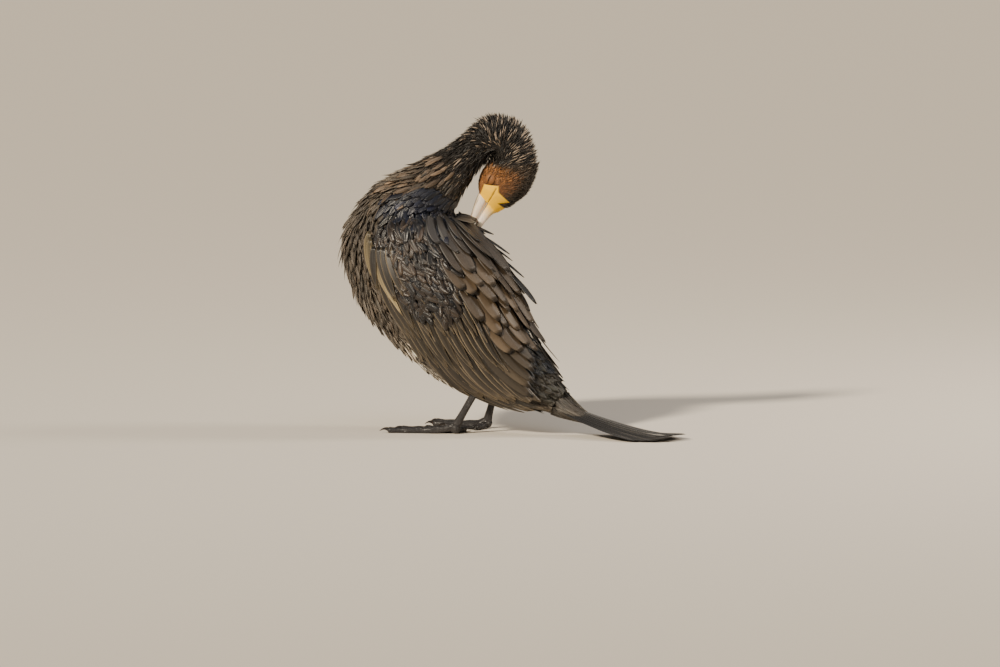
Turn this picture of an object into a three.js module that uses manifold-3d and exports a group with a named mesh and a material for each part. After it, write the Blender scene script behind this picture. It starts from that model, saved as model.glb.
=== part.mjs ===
// A life-size great cormorant in its first-winter plumage, standing on flat ground with its neck bent back
// over its shoulders and its bill pushed into the feathers of its upper back to preen them. The bird looks
// towards -X and +Z is up. All sizes are in millimetres. The origin is under the middle of the pad of the
// left foot, on the ground.
import * as THREE from "three";
import { mergeVertices } from "three/addons/utils/BufferGeometryUtils.js";
import Module from "manifold-3d";

const wasm = await Module();
wasm.setup();

// Gap that two neighbouring pieces keep between their faces.
const GAP = 0.3;

// Sections of the body from the root of the tail to the root of the bill. Each one says where it meets the
// back or nape and the belly or throat, as [x, z] in the plane of the bird, its half width, and how far the
// neck has swung round to the right there. The closely set backs from the neck's arch to the crown are the
// fold of the bent neck.
const BODY = {
  tailRoot: { back: [160, 50], front: [144, 25], half: 16, turn: 0 },
  vent: { back: [147, 68], front: [80, 33], half: 34, turn: 0 },
  thigh: { back: [113, 106], front: [16, 52], half: 50, turn: 0 },
  belly: { back: [84, 156], front: [-43, 91], half: 60, turn: 0 },
  flank: { back: [53, 199], front: [-97, 147], half: 62, turn: 0 },
  breast: { back: [27, 230], front: [-119, 214], half: 57, turn: 0 },
  neckFoot: { back: [10, 250], front: [-88, 273], half: 43, turn: 0 },
  neckLow: { back: [19, 267], front: [-33, 306], half: 29, turn: 12 },
  neckMiddle: { back: [35, 292], front: [13, 333], half: 21.5, turn: 22 },
  neckArch: { back: [48, 311], front: [49, 358], half: 20, turn: 25 },
  neckTop: { back: [55, 315.4], front: [87, 352], half: 20, turn: 25 },
  napeFold: { back: [53.8, 309.7], front: [104.4, 315], half: 20, turn: 25 },
  crown: { back: [48, 304], front: [103, 295], half: 20.5, turn: 25 },
  brow: { back: [42.3, 294], front: [96.4, 276], half: 20, turn: 25 },
  lores: { back: [40, 284], front: [80.5, 261], half: 16.5, turn: 25 },
  billRoot: { back: [40.8, 273], front: [62, 250], half: 9.5, turn: 25 },
};
const STATION = Object.fromEntries(Object.keys(BODY).map((name, i) => [name, i]));
const NECK_PIVOT_X = -39;
const BACK_LINE = lineThrough((s) => [s.back[0], s.back[1], 0]);
const FRONT_LINE = lineThrough((s) => [s.front[0], s.front[1], 0]);
const WIDTH_LINE = lineThrough((s) => [s.half, s.turn, 0]);

// Where the long body is parted, counted in stations.
const CUTS = { torsoEnd: 6, neckBaseEnd: 7.5, neckMiddleEnd: 9.4, neckUpperEnd: 11.5 };

function lineThrough(pick) {
  const points = Object.values(BODY).map((s) => new THREE.Vector3(...pick(s)));
  return new THREE.CatmullRomCurve3(points, false, "centripetal");
}

// Turns a point of the bird's plane, [x, z] and y sideways, about the upright line through the neck's
// pivot.
function turned(x, y, z, degrees) {
  const a = THREE.MathUtils.degToRad(degrees);
  const reach = x - NECK_PIVOT_X;
  return new THREE.Vector3(
    NECK_PIVOT_X + reach * Math.cos(a) - y * Math.sin(a),
    reach * Math.sin(a) + y * Math.cos(a),
    z,
  );
}

// The section at station k: its centre, the half vector from there to the back, and the half vector to the
// left side.
function sectionAt(k) {
  const t = THREE.MathUtils.clamp(k / (Object.keys(BODY).length - 1), 0, 1);
  const back = BACK_LINE.getPoint(t);
  const front = FRONT_LINE.getPoint(t);
  const width = WIDTH_LINE.getPoint(t);
  const backPoint = turned(back.x, 0, back.y, width.y);
  const frontPoint = turned(front.x, 0, front.y, width.y);
  const centre = backPoint.clone().add(frontPoint).multiplyScalar(0.5);
  const leftPoint = turned((back.x + front.x) / 2, -width.x, (back.y + front.y) / 2, width.y);
  return { centre, toBack: backPoint.sub(centre), toLeft: leftPoint.sub(centre) };
}

// The point of the body's surface at station k and angle phi, in degrees from the back over the left side.
function bodySkin(k, phi) {
  const s = sectionAt(k);
  const a = THREE.MathUtils.degToRad(phi);
  return s.centre.addScaledVector(s.toBack, Math.cos(a)).addScaledVector(s.toLeft, Math.sin(a));
}

function bodyNormal(k, phi) {
  const step = 0.02;
  const along = bodySkin(k + step, phi).sub(bodySkin(k - step, phi));
  const round = bodySkin(k, phi + 1).sub(bodySkin(k, phi - 1));
  return along.cross(round).normalize();
}

// The point at a height above the body's surface.
function bodyPoint(k, phi, height) {
  return bodySkin(k, phi).addScaledVector(bodyNormal(k, phi), height);
}

// Makes a closed mesh a solid, turned so that its faces point out.
function solidOf(geometry) {
  const bare = geometry.clone();
  bare.deleteAttribute("normal");
  bare.deleteAttribute("uv");
  const merged = mergeVertices(bare, 1e-4);
  const triVerts = new Uint32Array(merged.index.array);
  const vertProperties = new Float32Array(merged.attributes.position.array);
  const flipped = triVerts.slice();
  for (let i = 0; i < flipped.length; i += 3) {
    [flipped[i + 1], flipped[i + 2]] = [flipped[i + 2], flipped[i + 1]];
  }
  const made = new wasm.Manifold(new wasm.Mesh({ numProp: 3, vertProperties, triVerts }));
  if (made.volume() > 0) return made;
  return new wasm.Manifold(new wasm.Mesh({ numProp: 3, vertProperties, triVerts: flipped }));
}

function joined(solids) {
  return solids.reduce((all, next) => all.add(next));
}

// Keeps the largest closed surface of a solid that joining or cutting has left in pieces.
function largest(solid) {
  const bodies = solid.decompose();
  return bodies.reduce((best, next) => (next.volume() > best.volume() ? next : best));
}

function boxSolid(size, place) {
  return solidOf(new THREE.BoxGeometry(...size).applyMatrix4(place));
}

// Everything below the ground, to trim what stands on it.
function groundBlock() {
  const deep = 60;
  return boxSolid([900, 500, deep], new THREE.Matrix4().makeTranslation(100, 0, -deep / 2));
}

// A round body through sections: place(share, angle, reach) gives a point from the share of the length, the
// angle and the share of the way out from the middle.
function loft(place, steps, sides) {
  const geometry = new THREE.CylinderGeometry(1, 1, 1, sides, steps);
  const position = geometry.attributes.position;
  for (let i = 0; i < position.count; i++) {
    const reach = Math.round(Math.hypot(position.getX(i), position.getZ(i)));
    const angle = reach ? Math.atan2(position.getX(i), position.getZ(i)) : 0;
    const point = place(0.5 - position.getY(i), angle, reach);
    position.setXYZ(i, point.x, point.y, point.z);
  }
  return solidOf(geometry);
}

// A thin slab over a grid of cells, both faces split alike: place(u, v, side) gives a point for u and v
// from 0 to 1 and side -1 or 1.
function slab(place, across, along) {
  const points = [];
  const triangles = [];
  const index = (i, j, side) => (side > 0 ? 0 : (across + 1) * (along + 1)) + j * (across + 1) + i;
  for (const side of [1, -1]) {
    for (let j = 0; j <= along; j++) {
      for (let i = 0; i <= across; i++) points.push(...place(i / across, j / along, side).toArray());
    }
  }
  const quad = (a, b, c, d) => triangles.push(a, b, c, a, c, d);
  for (let j = 0; j < along; j++) {
    for (let i = 0; i < across; i++) {
      const corners = [[i, j], [i + 1, j], [i + 1, j + 1], [i, j + 1]];
      quad(...corners.map(([a, b]) => index(a, b, 1)));
      const under = corners.map(([a, b]) => index(a, b, -1));
      triangles.push(under[0], under[2], under[1], under[0], under[3], under[2]);
    }
  }
  for (let j = 0; j < along; j++) {
    quad(index(0, j, -1), index(0, j, 1), index(0, j + 1, 1), index(0, j + 1, -1));
    quad(index(across, j, 1), index(across, j, -1), index(across, j + 1, -1), index(across, j + 1, 1));
  }
  for (let i = 0; i < across; i++) {
    quad(index(i, 0, 1), index(i, 0, -1), index(i + 1, 0, -1), index(i + 1, 0, 1));
    quad(index(i, along, -1), index(i, along, 1), index(i + 1, along, 1), index(i + 1, along, -1));
  }
  const geometry = new THREE.BufferGeometry();
  geometry.setAttribute("position", new THREE.Float32BufferAttribute(points, 3));
  geometry.setIndex(triangles);
  return solidOf(geometry);
}

// A length of the bird between two stations. Its ends are set back by half the gap.
function bodyLength(from, to, steps, sides, height = 0) {
  const endShift = (k, sign) => {
    const s = sectionAt(k);
    const forward = sectionAt(Math.min(k + 0.02, 15)).centre.sub(sectionAt(Math.max(k - 0.02, 0)).centre);
    const normal = s.toLeft.clone().cross(s.toBack).normalize();
    return normal.multiplyScalar((Math.sign(normal.dot(forward)) * sign * GAP) / 2);
  };
  const startShift = endShift(from, height ? -1 : 1);
  const stopShift = endShift(to, height ? 1 : -1);
  return loft(
    (share, angle, reach) => {
      const k = THREE.MathUtils.lerp(from, to, share);
      const phi = THREE.MathUtils.radToDeg(angle);
      const point = reach ? bodyPoint(k, phi, height) : sectionAt(k).centre;
      if (share < 1e-6) point.add(startShift);
      if (share > 1 - 1e-6) point.add(stopShift);
      return point;
    },
    steps,
    sides,
  );
}

// Outlines of feathers: at each share of the length, the share of the full half width. The short ones are
// rounded, the long ones of the wing narrow to a point, and those of the tail stay wide.
const ROUND_TIP = [[0, 0.5], [0.5, 1], [0.86, 0.84], [1, 0.3]];
const LONG_TIP = [[0, 0.5], [0.35, 0.95], [0.7, 1], [0.92, 0.75], [1, 0.25]];
const POINTED_TIP = [[0, 0.5], [0.35, 1], [0.68, 0.9], [0.9, 0.5], [1, 0.12]];
const TAIL_TIP = [[0, 0.5], [0.5, 0.9], [0.86, 1], [1, 0.4]];
const VANE_THICKNESS = 0.9;

// One feather as a thin plate that is bent along a path: path(share) gives { point, normal }. A roll lifts
// the edge that lies to the right of the path, and grow makes the plate thicker and wider all round, to
// keep others clear of it.
function vane(path, { halfWidth, shape, roll = 0, grow = 0 }) {
  const along = shape.length - 1;
  const a = THREE.MathUtils.degToRad(roll);
  return slab(
    (u, v, side) => {
      const stop = Math.round(v * along);
      const [share, width] = shape[stop];
      const end = stop === 0 ? -1 : Number(stop === along);
      const here = path(share + (end * grow) / 40);
      const forward = path(share + 0.02).point.sub(path(share - 0.02).point).normalize();
      const across = new THREE.Vector3().crossVectors(here.normal, forward).normalize();
      const up = new THREE.Vector3().crossVectors(forward, across).normalize();
      const tiltedAcross = across.clone().multiplyScalar(Math.cos(a)).addScaledVector(up, -Math.sin(a));
      const tiltedUp = up.clone().multiplyScalar(Math.cos(a)).addScaledVector(across, Math.sin(a));
      const thick = VANE_THICKNESS * (stop === along ? 0.6 : 1) + 2 * grow;
      return here.point
        .clone()
        .addScaledVector(tiltedAcross, (u * 2 - 1) * (halfWidth * width + grow))
        .addScaledVector(tiltedUp, (side * thick) / 2);
    },
    1,
    along,
  );
}

// Tiers of the folded wing, from the ones that lie deepest to the ones on top. Each feather runs over the
// body from a root to a tip, given as [station, angle, height over the body] for the lowest and the highest
// feather of the tier.
const WING_TIERS = [
  {
    name: "primaries", count: 6, halfWidth: 7, shape: POINTED_TIP, roll: 12, bow: -3,
    rootFirst: [3.0, 108, 4], rootLast: [2.8, 92, 5], tipFirst: [0.95, 146, 8], tipLast: [0.05, 112, 7],
  },
  {
    name: "secondaries", count: 8, halfWidth: 8.5, shape: LONG_TIP, roll: 12, bow: -3,
    rootFirst: [3.35, 106, 6], rootLast: [2.8, 48, 7], tipFirst: [1.6, 132, 9], tipLast: [0.5, 84, 9],
  },
  {
    name: "greater_coverts", count: 7, halfWidth: 9, shape: ROUND_TIP, roll: 12, bow: 0,
    rootFirst: [4.15, 98, 11], rootLast: [3.8, 48, 12], tipFirst: [3.0, 108, 13.5], tipLast: [2.3, 58, 14],
  },
  {
    name: "median_coverts", count: 6, halfWidth: 9, shape: ROUND_TIP, roll: 12, bow: 0,
    rootFirst: [4.85, 94, 13], rootLast: [4.6, 48, 13], tipFirst: [3.85, 101, 17], tipLast: [3.4, 52, 17.5],
  },
  {
    name: "tertials", count: 4, halfWidth: 11, shape: LONG_TIP, roll: 8, bow: 2,
    rootFirst: [3.1, 48, 10], rootLast: [3.3, 20, 8], tipFirst: [0.75, 78, 12], tipLast: [1.35, 34, 12],
  },
];
const SCAPULAR_TIERS = [
  {
    name: "long_scapulars", count: 4, halfWidth: 9.5, shape: ROUND_TIP, roll: 9, bow: 0,
    rootFirst: [3.85, 42, 13], rootLast: [3.85, 16, 7], tipFirst: [2.0, 46, 16], tipLast: [2.0, 15, 15],
  },
  {
    name: "middle_scapulars", count: 4, halfWidth: 9.5, shape: ROUND_TIP, roll: 9, bow: 0,
    rootFirst: [4.5, 42, 13], rootLast: [4.5, 16, 7], tipFirst: [2.95, 44, 20], tipLast: [2.9, 15, 18],
  },
  {
    name: "short_scapulars", count: 4, halfWidth: 9.5, shape: ROUND_TIP, roll: 9, bow: 0,
    rootFirst: [5.15, 42, 11], rootLast: [5.1, 16, 6], tipFirst: [3.75, 44, 21], tipLast: [3.7, 14, 18],
  },
];

// The feathers of the upper back stand up a little between the two wings, in tiers from the rump to the
// neck. One row holds a single feather in the middle and the next a pair.
const MANTLE = {
  roots: [2.1, 2.7, 3.3, 3.9, 4.5, 5.1, 5.45],
  length: 1.2,
  pairAt: 8,
  lift: [-2, 9],
  halfWidth: 8,
};

// The fleshy arm of the folded wing with its small coverts, as a pad over the body. It is thickest at the
// shoulder.
const ARM = {
  stations: [2.4, 5.62],
  frontEdge: [[2.4, 120], [3.2, 109], [4, 101], [4.8, 98], [5.3, 95], [5.62, 84]],
  backEdge: [[2.4, 44], [3.6, 26], [4.6, 14], [5.3, 14], [5.62, 30]],
  thickest: 15,
  thinnest: 2.2,
};

function between(pairs, x) {
  const last = pairs.length - 1;
  if (x <= pairs[0][0]) return pairs[0][1];
  if (x >= pairs[last][0]) return pairs[last][1];
  const i = pairs.findIndex((p) => p[0] > x);
  const share = (x - pairs[i - 1][0]) / (pairs[i][0] - pairs[i - 1][0]);
  return THREE.MathUtils.lerp(pairs[i - 1][1], pairs[i][1], share);
}

function armPad(side) {
  const [start, stop] = ARM.stations;
  return slab(
    (u, v, face) => {
      const k = THREE.MathUtils.lerp(start, stop, v);
      const phi = THREE.MathUtils.lerp(between(ARM.frontEdge, k), between(ARM.backEdge, k), u);
      const crown = Math.pow(Math.sin(Math.PI * THREE.MathUtils.lerp(0.04, 0.96, u)), 0.6);
      const swell = Math.sin(Math.PI * THREE.MathUtils.lerp(0.02, 0.9, Math.pow(v, 0.8)));
      const top = ARM.thinnest + (ARM.thickest - ARM.thinnest) * crown * Math.pow(swell, 0.7);
      return bodyPoint(k, side * phi, face > 0 ? top : -3);
    },
    8,
    9,
  );
}

// A path over the body from one [station, angle, height] to another, bowed sideways by some degrees.
function bodyPath(root, tip, bow, side) {
  return (s) => {
    const k = THREE.MathUtils.lerp(root[0], tip[0], s);
    const phi = side * (THREE.MathUtils.lerp(root[1], tip[1], s) + bow * Math.sin(Math.PI * s));
    const height = THREE.MathUtils.lerp(root[2], tip[2], s);
    return { point: bodyPoint(k, phi, height), normal: bodyNormal(k, phi) };
  };
}

// The feathers of one tier. Side is 1 for the left wing and -1 for the right.
function tierVanes(tier, side) {
  return Array.from({ length: tier.count }, (_, i) => {
    const mix = (a, b) => a.map((value, n) => THREE.MathUtils.lerp(value, b[n], i / (tier.count - 1)));
    const root = mix(tier.rootFirst, tier.rootLast);
    const path = bodyPath(root, mix(tier.tipFirst, tier.tipLast), tier.bow, side);
    return vane(path, { ...tier, roll: side * tier.roll });
  });
}

function mantle(grow) {
  return MANTLE.roots.flatMap((k, row) => {
    const angles = row % 2 ? [-MANTLE.pairAt, MANTLE.pairAt] : [0];
    return angles.map((phi) => {
      const path = bodyPath([k, phi, MANTLE.lift[0]], [k - MANTLE.length, phi, MANTLE.lift[1]], 0, 1);
      return vane(path, { halfWidth: MANTLE.halfWidth, shape: ROUND_TIP, grow });
    });
  });
}

const torsoClear = bodyLength(0, CUTS.torsoEnd, 18, 24, GAP);

function wing(side) {
  const tiers = [...WING_TIERS, ...SCAPULAR_TIERS].flatMap((tier) => tierVanes(tier, side));
  return largest(joined([armPad(side), ...tiers]).subtract(torsoClear).subtract(joined(mantle(GAP))));
}

// A point beside the plane of the head, given as it lies before the neck swings round.
const HEAD_TURN = 25;
function headPoint(x, y, z) {
  return turned(x, y, z, HEAD_TURN);
}

// The bill from its root to its tip. The mouth line parts it into an upper and a lower half, and the upper
// one ends in a hook. Each station gives the ridge side and the far side, as [x, z] in the plane of the
// head, and a half width.
const UPPER_BILL = [
  { top: [40.8, 273.2], under: [50.6, 261.9], half: 9 },
  { top: [36.6, 263], under: [47.2, 256.2], half: 7.4 },
  { top: [33.6, 253.4], under: [43.2, 249.6], half: 5.8 },
  { top: [30.6, 243.6], under: [38.6, 241.8], half: 4.8 },
  { top: [27.8, 233.6], under: [34.4, 234.4], half: 4.2 },
  { top: [25.6, 224.6], under: [31.4, 227], half: 3.6 },
  { top: [26.4, 218.6], under: [31.6, 221.4], half: 2.6 },
  { top: [29.6, 215.2], under: [32.4, 217.2], half: 1.1 },
];
const LOWER_BILL = [
  { top: [51.2, 261.4], under: [62, 250.2], half: 8.4 },
  { top: [47.8, 255.6], under: [57, 248], half: 6.8 },
  { top: [43.8, 249], under: [51.4, 242.4], half: 5.2 },
  { top: [39.2, 241.2], under: [45.6, 235.2], half: 4.2 },
  { top: [35.4, 234.4], under: [40, 229], half: 3.4 },
  { top: [33.4, 229.8], under: [36, 225.8], half: 2 },
];
const BILL_SQUARENESS = 0.78;

// A half of the bill as a round body; grow makes it wider all round, to cut its bed into the feathers.
function billHalf(stations, grow) {
  const line = (pick) => new THREE.CatmullRomCurve3(stations.map((s) => new THREE.Vector3(...pick(s))));
  const tops = line((s) => [s.top[0], 0, s.top[1]]);
  const unders = line((s) => [s.under[0], 0, s.under[1]]);
  const halves = line((s) => [s.half, 0, 0]);
  return loft(
    (share, angle, reach) => {
      const top = tops.getPoint(share);
      const under = unders.getPoint(share);
      const centre = top.clone().add(under).multiplyScalar(0.5);
      const half = halves.getPoint(share).x + grow;
      const rise = top.sub(centre);
      rise.setLength(rise.length() + grow);
      const c = Math.sign(Math.cos(angle)) * Math.pow(Math.abs(Math.cos(angle)), BILL_SQUARENESS);
      centre.addScaledVector(rise, reach * c);
      return headPoint(centre.x, -reach * half * Math.sin(angle), centre.z);
    },
    stations.length + 1,
    14,
  );
}

// The narrow slit of the nostril and the groove that runs on from it along each side of the upper bill.
const NASAL_GROOVE = { from: [41.4, 262], to: [33, 236], wide: 1, deep: 0.9 };

function nasalGroove(side) {
  const { from, to, wide, deep } = NASAL_GROOVE;
  return slab(
    (u, v, face) => {
      const x = THREE.MathUtils.lerp(from[0], to[0], v);
      const z = THREE.MathUtils.lerp(from[1], to[1], v);
      const surface = THREE.MathUtils.lerp(7.2, 4.3, v);
      const y = face > 0 ? surface + 4 : surface - deep;
      return headPoint(x + (u - 0.5) * wide, -side * y, z);
    },
    1,
    5,
  );
}

// A groove in the body's surface from one [station, angle] to another.
function skinGroove(from, to, wide, deep, side) {
  return slab(
    (u, v, face) => {
      const k = THREE.MathUtils.lerp(from[0], to[0], v);
      const phi = side * THREE.MathUtils.lerp(from[1], to[1], v);
      const centre = bodyPoint(k, phi, face > 0 ? 3 : -deep);
      const ahead = bodyPoint(k + 0.05, phi, 0).sub(bodyPoint(k - 0.05, phi, 0)).normalize();
      const across = ahead.cross(bodyNormal(k, phi)).normalize();
      return centre.addScaledVector(across, (u - 0.5) * wide);
    },
    1,
    5,
  );
}

// The eye is shut but for a narrow slit between two swollen lids.
const EYE = { place: [13, 55], sunk: 4, ball: 5.2, lid: 6.7, slitLong: 9, slitWide: 1.5 };
const MOUTH_LINE = { from: [13.6, 82], to: [15.02, 88], wide: 0.9, deep: 1.1 };

function ball(centre, radius, across, down) {
  const sphere = new THREE.SphereGeometry(radius, across, down);
  return solidOf(sphere.translate(centre.x, centre.y, centre.z));
}

function eyeCentre(side) {
  return bodyPoint(EYE.place[0], side * EYE.place[1], -EYE.sunk);
}

// A box that opens the lids of one eye along the line from the nape to the bill.
function lidSlit(side) {
  const [k, phi] = EYE.place;
  const out = bodyNormal(k, side * phi);
  const along = bodySkin(k + 0.1, side * phi).sub(bodySkin(k - 0.1, side * phi));
  const across = new THREE.Vector3().crossVectors(out, along).normalize();
  along.crossVectors(across, out).normalize();
  const place = new THREE.Matrix4().makeBasis(across, along, out);
  place.setPosition(eyeCentre(side).addScaledVector(out, EYE.ball + 2));
  return boxSolid([EYE.slitWide, EYE.slitLong, 8], place);
}

function head() {
  let solid = bodyLength(CUTS.neckUpperEnd, 15, 9, 22);
  for (const side of [1, -1]) {
    solid = solid.add(ball(eyeCentre(side), EYE.lid, 12, 8));
    solid = solid.subtract(ball(eyeCentre(side), EYE.ball + GAP, 10, 7));
    solid = solid.subtract(lidSlit(side));
    const { from, to, wide, deep } = MOUTH_LINE;
    solid = solid.subtract(skinGroove(from, to, wide, deep, side));
  }
  return largest(solid.subtract(billHalf(UPPER_BILL, GAP)).subtract(billHalf(LOWER_BILL, GAP)));
}

function upperBill() {
  const solid = billHalf(UPPER_BILL, 0).subtract(nasalGroove(1)).subtract(nasalGroove(-1));
  return largest(solid.subtract(billHalf(LOWER_BILL, GAP)));
}

// The tail: seven pairs of stiff feathers, the middle pair on top, that reach the ground with their last
// part.
const TAIL = {
  root: [150, 35],
  pairs: 7,
  length: [150, 116],
  spread: [1.5, 15.5],
  rootSpacing: 1.7,
  halfWidth: [6.6, 7.2],
  layer: 1.2,
  groundShare: 0.86,
};
const TAIL_STUMP = [
  { x: 152.5, z: 37.2, half: 14.5, high: 14.2 },
  { x: 159, z: 32.5, half: 14.5, high: 11 },
  { x: 168, z: 28, half: 15, high: 7.5 },
  { x: 178, z: 24, half: 14, high: 5 },
  { x: 188, z: 20.4, half: 9, high: 2.6 },
];

function tailHeight(x) {
  const tipX = TAIL.root[0] + TAIL.length[0] * TAIL.groundShare;
  const share = THREE.MathUtils.clamp((tipX - x) / (tipX - TAIL.root[0]), 0, 1);
  return TAIL.root[1] * Math.pow(share, 1.35);
}

function tailFeather(pair, side) {
  const share = pair / (TAIL.pairs - 1);
  const yaw = THREE.MathUtils.degToRad(THREE.MathUtils.lerp(TAIL.spread[0], TAIL.spread[1], share));
  const length = THREE.MathUtils.lerp(TAIL.length[0], TAIL.length[1], share * share);
  const layer = (TAIL.pairs - 1 - pair) * TAIL.layer + 0.7;
  const point = (s) => {
    const x = TAIL.root[0] + 6 + length * s * Math.cos(yaw);
    const y = -side * (TAIL.rootSpacing * (pair + 0.5) + length * s * Math.sin(yaw));
    return new THREE.Vector3(x, y, tailHeight(x) + layer - (1 - s) * 4);
  };
  const path = (s) => ({ point: point(s), normal: new THREE.Vector3(0.15, 0, 1).normalize() });
  const halfWidth = THREE.MathUtils.lerp(TAIL.halfWidth[0], TAIL.halfWidth[1], share);
  return vane(path, { halfWidth, shape: TAIL_TIP });
}

function tail() {
  const profile = (pick) => new THREE.CatmullRomCurve3(TAIL_STUMP.map((s) => new THREE.Vector3(...pick(s))));
  const line = profile((s) => [s.x, 0, s.z]);
  const size = profile((s) => [s.half, s.high, 0]);
  const stump = loft(
    (share, angle, reach) => {
      const centre = line.getPoint(share);
      const { x: half, y: high } = size.getPoint(share);
      const lean = 0.64 * (1 - share);
      const up = reach * high * Math.cos(angle);
      return new THREE.Vector3(centre.x + up * lean, -reach * half * Math.sin(angle), centre.z + up);
    },
    6,
    16,
  );
  const half = (side) => Array.from({ length: TAIL.pairs }, (_, i) => tailFeather(i, side));
  const feathers = [...half(1), ...half(-1)];
  return largest(joined([stump, ...feathers]).subtract(torsoClear).subtract(groundBlock()));
}

// The legs. Each foot is given by the joint where its toes meet, and the heel stands behind and above it.
const LEGS = {
  left: { joint: [36, -36], heelBehind: 29, side: 1 },
  right: { joint: [42, 36], heelBehind: 15, side: -1 },
};
const SOLE = [13, -36];
const JOINT_HEIGHT = 11;
const HEEL = { inward: 1.5, height: 54 };
const TOES = {
  outer: { angle: 17, length: 78, radius: 4.3, claw: 11 },
  middle: { angle: 0, length: 68, radius: 4.3, claw: 12 },
  inner: { angle: -25, length: 48, radius: 4.1, claw: 10 },
  hind: { angle: -88, length: 27, radius: 3.8, claw: 8 },
};
// Height of a toe's middle line at its end, and how soon it comes down to there from the joint.
const TOE_END = 2.9;
const TOE_FALL = 5;

function toePoint(leg, toe, share) {
  const a = THREE.MathUtils.degToRad(toe.angle);
  const reach = toe.length * share;
  return new THREE.Vector3(
    leg.joint[0] - Math.cos(a) * reach,
    leg.joint[1] - leg.side * Math.sin(a) * reach,
    TOE_END + (JOINT_HEIGHT - 2 - TOE_END) * Math.pow(1 - share, TOE_FALL),
  );
}

// A round rod along a path of points, with a radius for each share of its length and a flatness across.
function rod(path, radius, steps, sides, flat = 1) {
  return loft(
    (share, angle, reach) => {
      const forward = path(Math.min(share + 0.01, 1)).sub(path(Math.max(share - 0.01, 0))).normalize();
      const across = new THREE.Vector3(0, 0, 1).cross(forward).normalize();
      const up = new THREE.Vector3().crossVectors(forward, across);
      const r = radius(share) * reach;
      return path(share)
        .addScaledVector(across, r * Math.sin(angle) * flat)
        .addScaledVector(up, r * Math.cos(angle));
    },
    steps,
    sides,
  );
}

function toe(leg, spec, grow) {
  const knuckle = (s) => 1 + 0.1 * Math.cos(6 * Math.PI * s);
  const radius = (s) => spec.radius * (1 - 0.16 * s) * knuckle(s) + grow;
  return rod((s) => toePoint(leg, spec, s * (1 + grow / spec.length)), radius, 6, 7);
}

// The web between two neighbouring toes, with a hollow free edge.
function web(leg, one, other) {
  return slab(
    (u, v, face) => {
      const reach = 0.06 + 0.9 * v * (1 - 0.16 * Math.sin(Math.PI * u));
      const point = toePoint(leg, one, reach).lerp(toePoint(leg, other, reach), u);
      point.z = Math.min(point.z, 5) - 1.2 * Math.sin(Math.PI * u) + face * 0.6;
      return point;
    },
    3,
    4,
  );
}

function foot(leg) {
  const { outer, middle, inner, hind } = TOES;
  const knob = ball(new THREE.Vector3(leg.joint[0], leg.joint[1], JOINT_HEIGHT - 4.5), 6, 10, 6);
  const toes = [outer, middle, inner, hind].map((spec) => toe(leg, spec, 0));
  const webs = [web(leg, outer, middle), web(leg, middle, inner), web(leg, inner, hind)];
  return largest(joined([knob, ...toes, ...webs]).subtract(groundBlock()));
}

// A claw leaves the end of its toe, arches forward and comes down close to the ground.
function claw(leg, spec) {
  const a = THREE.MathUtils.degToRad(spec.angle);
  const start = toePoint(leg, spec, 1);
  const path = (s) => {
    const reach = spec.claw * s - 1;
    const rise = 0.9 + 1.8 * Math.sin(Math.PI * 0.75 * s) - 3.1 * s * s;
    return new THREE.Vector3(
      start.x - Math.cos(a) * reach,
      start.y - leg.side * Math.sin(a) * reach,
      start.z + rise,
    );
  };
  return largest(rod(path, (s) => 2.3 * (1 - s) + 0.35, 5, 6).subtract(toe(leg, spec, GAP)));
}

function tarsusPath(leg) {
  const low = new THREE.Vector3(leg.joint[0] + 1.5, leg.joint[1], JOINT_HEIGHT + 2.4);
  const inward = leg.side * HEEL.inward;
  const high = new THREE.Vector3(leg.joint[0] + leg.heelBehind, leg.joint[1] + inward, HEEL.height);
  return (s) => low.clone().lerp(high, s);
}

function tarsus(leg, grow) {
  const radius = (s) => 4.1 + 1.4 * Math.pow(Math.abs(2 * s - 1), 3) + grow;
  return rod(tarsusPath(leg), radius, 6, 10, 0.8);
}

// The feathered thigh leaves the belly and ends at the heel.
const THIGH = { top: [-50, 8, 104], wide: [24, 6.6], flat: 0.8 };

function thigh(leg, grow) {
  const heel = tarsusPath(leg)(1).add(new THREE.Vector3(-0.4, 0, 1.2));
  const [forward, inward, height] = THIGH.top;
  const top = new THREE.Vector3(heel.x + forward, leg.joint[1] + leg.side * inward, height);
  const radius = (s) => THREE.MathUtils.lerp(THIGH.wide[1], THIGH.wide[0], Math.pow(s, 0.8)) + grow;
  return rod((s) => heel.clone().lerp(top, s), radius, 8, 18, THIGH.flat);
}

// The stage that the meshes hang on. The bird's own plane runs through y = 0, so the group is moved to
// bring the pad of the left foot to the origin.
const bird = new THREE.Group();
bird.position.set(-SOLE[0], -SOLE[1], 0);

function addNode(name, solid, colour, roughness) {
  const data = solid.getMesh();
  const count = data.numProp;
  const points = [];
  for (let i = 0; i < data.numVert; i++) {
    points.push(...data.vertProperties.subarray(i * count, i * count + 3));
  }
  const geometry = new THREE.BufferGeometry();
  geometry.setAttribute("position", new THREE.Float32BufferAttribute(points, 3));
  geometry.setIndex([...data.triVerts]);
  const material = new THREE.MeshStandardMaterial({ color: colour, roughness, metalness: 0 });
  const mesh = new THREE.Mesh(geometry, material);
  mesh.name = name;
  bird.add(mesh);
}

const COLOURS = {
  body: "#3a3027", neck: "#2b2420", face: "#6b4526", bill: "#e2cfb4", ridge: "#6f6558", eye: "#14110f",
  wing: "#5c4f3e", tail: "#33302c", leg: "#26221f", claw: "#1b1815",
};
const billBed = billHalf(UPPER_BILL, GAP).add(billHalf(LOWER_BILL, GAP));

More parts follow.
